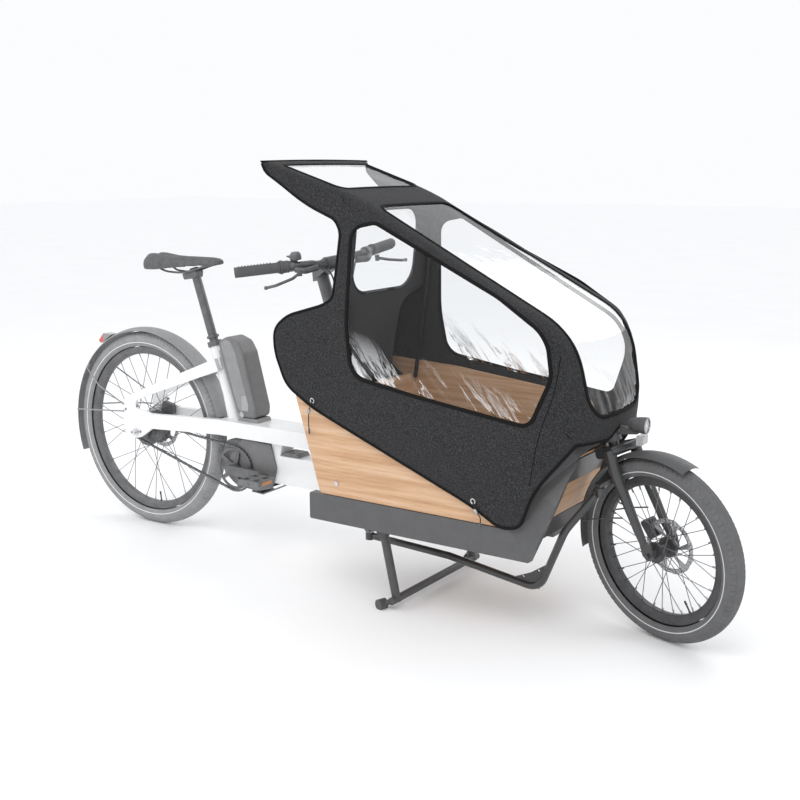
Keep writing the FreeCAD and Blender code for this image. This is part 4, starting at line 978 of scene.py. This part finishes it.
def build_saddle():
    """A padded shell with a channel along its middle and two raised rear wings, blown up a
    little so that its cover lies in one smooth skin over the padding."""
    leather = Nodes("saddle_cover")
    leather.set(leather.shader, Roughness=0.62, Specular_IOR_Level=0.4)
    pores = leather.noise(1500, 3, 0.7)
    leather.link(leather.ramp(leather.noise(60, 4), (0.3, (0.085, 0.085, 0.087)),
                              (0.7, (0.125, 0.125, 0.127))), leather.shader.inputs["Base Color"])
    leather.bump(pores, 0.35, 0.0003)

    # stations along the saddle, then its half width, top and depth at each of them
    keys = [44, 56, 76, 112, 150, 200, 260, 330, 356, 365]
    widths = [52, 63, 71, 71, 58, 39, 26, 20, 17, 12]
    tops = [972, 976, 978, 976, 975, 975, 977, 978, 976, 970]
    deep = [32, 46, 50, 46, 40, 34, 30, 27, 24, 14]
    rows, ring = 44, 22
    spots = np.linspace(keys[0], keys[-1], rows)
    verts = []
    for x in spots:
        wide, top, depth = (float(averaged(x, keys, v, 7)) for v in (widths, tops, deep))
        notch = 24 * max(0.0, 1 - (x - keys[0]) / 60)
        wing = 7 * max(0.0, 1 - (x - keys[0]) / 100)
        loop = []
        for j in range(ring + 1):
            a = math.pi * j / ring
            y = -wide * math.copysign(abs(math.cos(a)) ** 0.8, math.cos(a))
            z = top - depth + depth * math.sin(a) ** 0.55
            part = abs(y) / wide
            z += wing * math.sin(min(1.0, part * 1.35) * math.pi) - 5.0 * math.exp(-(y / 9) ** 2)
            shift = notch * math.exp(-(y / 13) ** 2)
            loop.append((x + shift, y, z))
        thick = min(15.0, depth * 0.7)
        for j in range(ring, -1, -1):
            a = math.pi * j / ring
            y = -(wide - thick * 0.55) * math.copysign(abs(math.cos(a)) ** 0.8, math.cos(a))
            z = top - depth + 0.5 + (depth - thick) * math.sin(a) ** 0.55
            loop.append((x + notch * math.exp(-(y / 13) ** 2), y, z))
        verts += loop
    n = 2 * (ring + 1)
    faces = quads(rows, n, loop_rows=False)
    faces.append(tuple(range(n))[::-1])
    faces.append(tuple((rows - 1) * n + j for j in range(n)))
    shell = mesh_object("saddle_cover", metres(verts), faces, leather.material)
    modify(shell, "REMESH", mode="VOXEL", voxel_size=PADDING_VOXEL, use_smooth_shade=True)
    settle(shell, PADDING_SWELL)
    modify(shell, "SUBSURF", levels=1, render_levels=1)
    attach(shell, "seat")
    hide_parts("saddle")
    plate = finish("saddle_base", (0.06, 0.06, 0.061), 0.5, grain=0.3)
    for x, y, z in ((330, 10, 955), (96, 34, 940), (96, -34, 940)):
        stud = lathe("rail_socket", [(0.0001, -0.004), (0.007, -0.003), (0.009, 0.006),
                                     (0.009, 0.016), (0.0001, 0.016)], at(x, y, z), (0, 0, 1),
                     plate, "seat")


def applied(thing):
    """The mesh with its modifiers worked in, and the modifiers gone."""
    bpy.context.view_layer.update()
    graph = bpy.context.evaluated_depsgraph_get()
    mesh = bpy.data.meshes.new_from_object(thing.evaluated_get(graph))
    for old in list(thing.modifiers):
        thing.modifiers.remove(old)
    thing.data = mesh
    mesh.shade_smooth()


def settle(thing, cap):
    """Work a padded shape's modifiers in and blow it up a little as cloth; `cap` is the
    furthest that any of its points may move."""
    applied(thing)
    start = np.array([tuple(v.co) for v in thing.data.vertices])
    cloth = thing.modifiers.new("cloth", "CLOTH")
    cloth.settings.use_pressure = True
    cloth.settings.uniform_pressure_force = PADDING_PRESSURE
    cloth.settings.effector_weights.gravity = 0
    for frame_number in range(1, PADDING_STEPS + 1):
        bpy.context.scene.frame_set(frame_number)
    applied(thing)
    bpy.context.scene.frame_set(1)
    end = np.array([tuple(v.co) for v in thing.data.vertices])
    move = end - start
    far = np.linalg.norm(move, axis=1, keepdims=True)
    move *= np.minimum(1, cap / np.maximum(far, 1e-9))
    for v, p in zip(thing.data.vertices, start + move):
        v.co = p
    thing.data.update()


# ---------------------------------------------------------------- wheels

def wheel_place(joint):
    """The axle's place and turn: local y runs along the axle to the left."""
    spec = next(j for j in frame["joints"] if j["name"] == joint)
    axis = Vector(spec["axis"]).normalized()
    axis = axis if axis.y > 0 else -axis
    up = Vector((0, 0, 1))
    ahead = axis.cross(up).normalized()
    up = ahead.cross(axis)
    turn = Matrix((ahead, axis, up)).transposed().to_4x4()
    return Matrix.Translation(Vector(spec["pos_m"])) @ turn


def local_mesh(name, verts, faces, material, place, body):
    """A piece whose points are in millimetres about a wheel's own axle."""
    piece = mesh_object(name, [place @ (Vector(v) / 1000) for v in verts], faces, material)
    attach(piece, body)
    return piece


TUBE_RADIUS = 30.5  # of the tyre's round section
BEAD_HALF = 14.0  # half the gap between the tyre's two beads
BAND_PARTS = 180  # of a reflective band, round the wheel
# the tread's zones, in degrees from the crown's middle
CROWN_END, SHOULDER_START, SHOULDER_END, SIDE_START = 36, 40, 66, 70


def tread_depth(theta, turn, count):
    """How far the tyre's skin drops below its round form: shallow slanted blocks on the crown,
    squarer ones on each shoulder, then two fine ribs down the side."""
    a = abs(math.degrees(theta))
    step = turn * count
    if a < CROWN_END:
        drop = 0.9 if (step + a / 40 + (0.5 if theta > 0 else 0)) % 1 < 0.16 else 0.0
        return max(drop, 0.8 if 11 < a < 14 else 0.0)
    if a < SHOULDER_START:
        return 1.3
    if a < SHOULDER_END:
        return 1.7 if (step + 0.3 + a / 160) % 1 < 0.26 else 0.0
    if a < SIDE_START:
        return 1.2
    return 1.0 if a < 84 or 88 < a < 91 or 112 < a < 116 else 1.4


def build_tyre(which, outer, colour, stripe_colour):
    """A tyre with its tread cut into it and a reflective band on each side."""
    place = wheel_place(which + "_wheel_spin")
    body = which + "_wheel"
    rubber = finish(which + "_tyre_rubber", colour, 0.72, mottle=0.10, scale=30, grain=0.35,
                    grain_scale=700)
    blocks = 132 if which == "rear" else 98
    angles = list(range(-136, 137, 4)) + [-37, 37, -67.5, 67.5, -11.5, 11.5, -13.5, 13.5]
    angles = sorted(set(angles))
    rows = blocks * 6
    verts = []
    for k in range(rows):
        turn = k / rows
        c, s = math.cos(2 * math.pi * turn), math.sin(2 * math.pi * turn)
        for degree in angles:
            theta = math.radians(degree)
            r = TUBE_RADIUS - tread_depth(theta, turn, blocks) - 0.1
            reach = outer - TUBE_RADIUS + r * math.cos(theta)
            wide = r * math.sin(theta)
            if abs(degree) > 118:
                wide = math.copysign(max(BEAD_HALF, abs(wide)), wide)
            verts.append((reach * c, wide, reach * s))
    n = len(angles)
    faces = [(a, d, c, b) for a, b, c, d in quads(rows, n, loop_ring=False)]
    tyre = local_mesh(which + "_tyre_tread", verts, faces, rubber, place, body)
    tyre.data.shade_flat()
    modify(tyre, "EDGE_SPLIT", split_angle=math.radians(24))
    tyre.data.shade_smooth()
    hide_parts(which + "_tyre")
    band = finish(which + "_reflective_band", stripe_colour, 0.4, mottle=0.03, scale=200)
    for sign, side in ((-1, "right"), (1, "left")):
        verts = []
        for k in range(BAND_PARTS):
            turn = 2 * math.pi * k / BAND_PARTS
            c, s = math.cos(turn), math.sin(turn)
            for degree, skin in ((99.5, -1.4), (100, -0.6), (105, -0.6), (105.5, -1.4)):
                theta = math.radians(degree)
                radius = TUBE_RADIUS + skin
                reach = outer - TUBE_RADIUS + radius * math.cos(theta)
                verts.append((reach * c, sign * radius * math.sin(theta), reach * s))
        faces = [(a, d, c, b) for a, b, c, d in quads(BAND_PARTS, 4, loop_ring=False)]
        local_mesh(which + "_band_" + side, verts, faces, band, place, body)
    return place, body


def build_wheels():
    """Both wheels' tyres, spoke nipples, valves and brake rotors."""
    alloy = finish("nipple_metal", (0.40, 0.40, 0.41), 0.3, metal=1, mottle=0.1)
    steel = finish("rotor_face", (0.50, 0.50, 0.51), 0.32, metal=0.9, mottle=0.16, scale=220)
    black = finish("rotor_carrier", (0.05, 0.05, 0.051), 0.4, metal=0.4)
    spokes = 32
    spoke_sweep = math.radians(70)  # from a spoke's place in the rim to its place in the hub
    for which, outer, bead, colour, stripe, disc_y in (
            ("rear", 351, 292, (0.272, 0.272, 0.274), (0.78, 0.78, 0.78), 50),
            ("front", 262, 203, (0.115, 0.115, 0.117), (0.62, 0.62, 0.62), 33)):
        place, body = build_tyre(which, outer, colour, stripe)
        turn = place.to_3x3()
        flange_r, flange_y = (55, 28) if which == "rear" else (25, 26)
        nipple_r, valve_r = bead - 20.5, bead - 21
        for i in range(spokes):
            side = 1 if i % 2 else -1
            outer_a = 2 * math.pi * i / spokes
            inner_a = outer_a + (1 if (i // 2) % 2 else -1) * spoke_sweep
            start = Vector((flange_r * math.sin(inner_a), side * flange_y,
                            flange_r * math.cos(inner_a)))
            end = Vector((nipple_r * math.sin(outer_a), side * 2, nipple_r * math.cos(outer_a)))
            run = (start - end).normalized()
            nut = lathe(f"{which}_nipple_{i}", [(0.0012, 0.0125), (0.0019, 0.012), (0.0019, 0.001),
                                                (0.0027, 0.0002), (0.0012, -0.0008)],
                        place @ (end / 1000), turn @ run, alloy, body, 8)
        angle = math.radians(-84 if which == "rear" else -60)
        spot = Vector((math.cos(angle), 0, math.sin(angle)))
        valve = lathe(which + "_valve", [(0.0001, 0), (0.0032, 0), (0.0032, 0.004), (0.0024, 0.006),
                                         (0.0024, 0.022), (0.0030, 0.023), (0.0030, 0.034),
                                         (0.0001, 0.035)],
                      place @ (spot * valve_r / 1000), turn @ -spot, black, body, 12)
        rotor(which, place, body, disc_y, steel)


def rotor(which, place, body, inner_y, steel):
    """A brake rotor: a waved ring with rows of holes, on six swept arms."""
    def circle(radius, parts, wave=0.0, lobes=12):
        turns = np.arange(parts) / parts * 2 * math.pi
        r = radius - wave * (0.5 + 0.5 * np.cos(lobes * turns))
        return np.stack([r * np.cos(turns), r * np.sin(turns)], -1)

    holes = []
    hole_pairs, arms = 36, 6
    for i in range(hole_pairs):
        for radius, lag in ((70.5, 0), (74.5, 0.35)):
            turn = 2 * math.pi * (i + lag) / hole_pairs
            holes.append(np.array([(radius * math.cos(turn) + 1.7 * math.cos(t),
                                    radius * math.sin(turn) + 1.7 * math.sin(t))
                                   for t in np.linspace(0, 2 * math.pi, 9)[:-1]]))
    for i in range(arms):
        first, last = math.radians(60 * i + 7), math.radians(60 * i + 52)
        swing = math.radians(14)
        window = [(65 * math.cos(t + swing), 65 * math.sin(t + swing))
                  for t in np.linspace(first, last, 9)]
        window += [(29 * math.cos(t), 29 * math.sin(t)) for t in np.linspace(last, first, 7)]
        holes.append(np.array(window))
    holes.append(circle(16, 24)[::-1])
    flat, faces = panel(circle(80, 144, 2.2), holes, 4.5)
    verts = [(u, inner_y, v) for u, v in flat]
    disc = local_mesh(which + "_rotor", verts, faces, steel, place, body)
    modify(disc, "SOLIDIFY", thickness=SHEET_THICK, offset=-1)
    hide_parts(which + "_disc")


# ---------------------------------------------------------------- battery, lamps, chain, trim

def prism(name, outline, low, high, material, body, slot, bevel=1.5, segments=3):
    """A bevelled plate or block: a side-view outline (x, z) between two y values."""
    n = len(outline)
    verts = [at(x, low, z) for x, z in outline] + [at(x, high, z) for x, z in outline]
    faces = [tuple(range(n)), tuple(range(2 * n - 1, n - 1, -1))]
    faces += [(i, i + n, (i + 1) % n + n, (i + 1) % n) for i in range(n)]
    piece = mesh_object(name, verts, faces, material)
    mesh = bmesh.new()
    mesh.from_mesh(piece.data)
    bmesh.ops.recalc_face_normals(mesh, faces=mesh.faces)
    mesh.to_mesh(piece.data)
    mesh.free()
    modify(piece, "BEVEL", width=bevel / 1000, segments=segments, limit_method="ANGLE",
           angle_limit=math.radians(30), harden_normals=True)
    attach(piece, body)
    return piece


def build_battery():
    """A rounded case with a lighter plate on each side, a dark front and a plain rating plate."""
    case = finish("battery_case", (0.165, 0.165, 0.167), 0.42, grain=0.4, grain_scale=900)
    plate = finish("battery_plate", (0.265, 0.265, 0.267), 0.5, grain=0.5, grain_scale=900)
    label = finish("battery_rating", (0.36, 0.36, 0.363), 0.3, mottle=0.02)
    key = finish("battery_key", (0.45, 0.45, 0.46), 0.3, metal=0.9)
    outline = rounded([(368, 702, 18), (412, 722, 26), (458, 706, 26), (480, 672, 34),
                       (530, 486, 20), (526, 452, 14), (460, 452, 10), (442, 470, 12)], 5)
    body = prism("battery_case", outline, -40.5, 40.5, case, "battery", "black_plastic", 9, 4)
    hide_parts("battery")
    for sign in (-1, 1):
        side = sorted((sign * 39.2, sign * 40.9))
        face = rounded([(382, 700, 14), (410, 712, 20), (430, 704, 20), (448, 668, 30),
                        (498, 500, 14), (500, 474, 8), (464, 474, 10), (452, 482, 10)], 5)
        prism("battery_side", face, *side, plate, "battery", "grey_plastic", 1.2)
        side = sorted((sign * 39.6, sign * 41.3))
        rate = [(470, 524), (490, 530), (499, 500), (499, 477), (470, 477)]
        prism("battery_label", rate, *side, label, "battery", "grey_plastic", 0.5)
    lathe("battery_lock", [(0.0001, 0), (0.010, 0), (0.010, 0.0022), (0.0085, 0.003),
                           (0.0001, 0.003)], at(470, -40, 462), (0, -1, 0), key, "battery")


def build_lamps():
    """A round front lamp with a clear face and bezel, the face ridged with a reflector's pattern."""
    glass = Nodes("lamp_face")
    ridges = glass.add("ShaderNodeTexWave", bands_direction="Z")
    glass.set(ridges, Scale=160, Distortion=0.6)
    glass.link(glass.place, ridges.inputs["Vector"])
    glass.link(glass.ramp(ridges.outputs["Fac"], (0.2, (0.50, 0.51, 0.52)), (0.8, (0.95, 0.96, 0.97))),
               glass.shader.inputs["Base Color"])
    glass.set(glass.shader, Roughness=0.08, Coat_Weight=1.0, Metallic=0.2)
    glass.bump(ridges.outputs["Fac"], 0.3, 0.0008)
    chrome = finish("lamp_bezel", (0.30, 0.30, 0.31), 0.2, metal=0.9)
    face = lathe("lamp_face", [(0.0001, 0.0), (0.0172, 0.0), (0.0172, 0.0030), (0.0150, 0.0052),
                               (0.0080, 0.0068), (0.0001, 0.0072)],
                 at(1879, 0, 592), (1, 0, 0), glass.material, "frame", 32)
    ring = lathe("lamp_bezel", [(0.0175, -0.002), (0.0215, -0.001), (0.0220, 0.004),
                                (0.0208, 0.0062), (0.0182, 0.0062), (0.0175, 0.004)],
                 at(1882, 0, 592), (1, 0, 0), chrome, "frame", 32)


PIN_PITCH = 12.7
CHAIN_Y = -49.0
PLATE_THICK = 0.9
SMALL_RADIUS, BIG_RADIUS = 32, 72
PIN_RISE = 4.8  # of the chain's middle line above each sprocket's root


def chain_line():
    """Points along the chain's middle line, in the side view."""
    big, small = np.array([437.0, 273.0]), np.array([0.0, 351.0])
    r1, r2 = SMALL_RADIUS + PIN_RISE, BIG_RADIUS + PIN_RISE
    span = big - small
    length = float(np.linalg.norm(span))
    lean = math.atan2(span[1], span[0])
    spread = math.asin((BIG_RADIUS - SMALL_RADIUS) / length)
    up, down = lean + math.pi / 2 + spread, lean - math.pi / 2 - spread
    line = []
    for middle, radius, first, last in ((big, r2, up, down), (small, r1, down, up - 2 * math.pi)):
        line += [middle + radius * np.array([math.cos(t), math.sin(t)])
                 for t in np.linspace(first, last, 60)]
    line.append(line[0])
    return np.array(line)


def link_outline(a, b):
    """A link plate's waisted outline between two pins."""
    end_radius, waist = 3.9, 2.7
    along = (b - a) / np.linalg.norm(b - a)
    cross = np.array([-along[1], along[0]])
    outline = []
    for middle, first in ((a, math.pi / 2), (b, -math.pi / 2)):
        for t in np.linspace(first, first + math.pi, 5):
            outline.append(middle + end_radius * (along * math.cos(t) + cross * math.sin(t)))
    outline.insert(5, (a + b) / 2 - cross * waist)
    outline.append((a + b) / 2 + cross * waist)
    return outline


def build_chain():
    """Roller chain: outer and inner plates by turns, with a roller at every pin."""
    steel = finish("chain_plate", (0.16, 0.16, 0.162), 0.38, metal=0.7, mottle=0.2, scale=300)
    line = chain_line()
    arc = np.concatenate([[0], np.cumsum(np.linalg.norm(np.diff(line, axis=0), axis=1))])
    count = 2 * round(arc[-1] / PIN_PITCH / 2)
    pins = [np.array([np.interp(arc[-1] * k / count, arc, line[:, i]) for i in (0, 1)])
            for k in range(count)]
    verts, faces = [], []

    def block(outline, low, high):
        base, n = len(verts), len(outline)
        for level in (low, high):
            verts.extend((p[0], level, p[1]) for p in outline)
        faces.append(tuple(range(base, base + n)))
        faces.append(tuple(range(base + 2 * n - 1, base + n - 1, -1)))
        faces.extend((base + i, base + i + n, base + (i + 1) % n + n, base + (i + 1) % n)
                     for i in range(n))

    for k, a in enumerate(pins):
        outline = link_outline(a, pins[(k + 1) % count])
        offset = 2.9 if k % 2 else 1.9
        for low in (CHAIN_Y - offset - PLATE_THICK, CHAIN_Y + offset):
            block(outline, low, low + PLATE_THICK)
        for radius, half in ((1.7, 3.9), (3.0, 1.8)):  # the pin, then the roller on it
            turned = [a + radius * np.array([math.cos(math.pi * i / 4), math.sin(math.pi * i / 4)])
                      for i in range(8)]
            block(turned, CHAIN_Y - half, CHAIN_Y + half)
    links = mesh_object("chain_links", metres(verts), faces, steel, smooth=False)
    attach(links, "frame")
    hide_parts("chain")


def build_trim():
    """Pedal reflectors, the front apron, grip ribs and frame bolts, in that order."""
    amber = finish("amber_reflector", (0.56, 0.20, 0.03), 0.2, mottle=0.25, scale=500, coat=0.7)
    bolt = finish("bolt_steel", (0.24, 0.24, 0.245), 0.35, metal=0.8, mottle=0.2, scale=300)
    for body, x, y in (("pedal_right", 607, -131), ("pedal_left", 267, 131)):
        for sign in (-1, 1):
            ends = sorted((x + sign * 43.5, x + sign * 40))
            outline = [(ends[0], 268), (ends[1], 268), (ends[1], 278), (ends[0], 278)]
            prism("pedal_reflector", outline, y - 24, y + 24, amber, body, "red_lens", 0.8)
    apron = finish("apron_plate", (0.035, 0.035, 0.036), 0.45, grain=0.2)
    prism("front_apron", [(1713, 499), (1719, 498), (1757, 586), (1752, 588)], -108, 108, apron,
          "frame", "dark_metal", 1)
    build_grip_rings()
    for x, z in ((-50, 428), (-24, 346), (20, 354), (8, 446)):
        for sign in (-1, 1):
            lathe("frame_bolt", [(0.0001, -0.004), (0.0046, -0.004), (0.0046, 0.001),
                                 (0.0036, 0.0022), (0.0018, 0.0022), (0.0001, 0.001)],
                  at(x, sign * 78, z), (0, sign, 0), bolt, "frame", 12)


def build_grip_rings():
    """Ribs round both grips, spaced from the outer end along the grip's own line."""
    first_rib, rib_spacing, ribs = 0.014, 0.0095, 11
    grips = frame["nodes"]["grips"]
    rubber = grips.material_slots[0].material
    skin = np.array([tuple(grips.matrix_world @ v.co) for v in grips.data.vertices])
    for sign in (-1, 1):
        half = skin[skin[:, 1] * sign > 0]
        middle = (half.min(0) + half.max(0)) / 2
        run = np.linalg.svd(half - half.mean(0), full_matrices=False)[2][0]
        run *= np.sign(run[1]) * sign
        reach = ((half - middle) @ run).max()
        for k in range(ribs):
            spot = middle + run * (reach - first_rib - rib_spacing * k)
            lathe("grip_ring", [(0.0150, -0.0022), (0.0170, -0.0016), (0.0170, 0.0016),
                                (0.0150, 0.0022)], spot, run, rubber, "bars", 20)


build_stage()
dress()
build_canopy()
build_cords()
build_saddle()
build_wheels()
build_battery()
build_lamps()
build_chain()
build_trim()
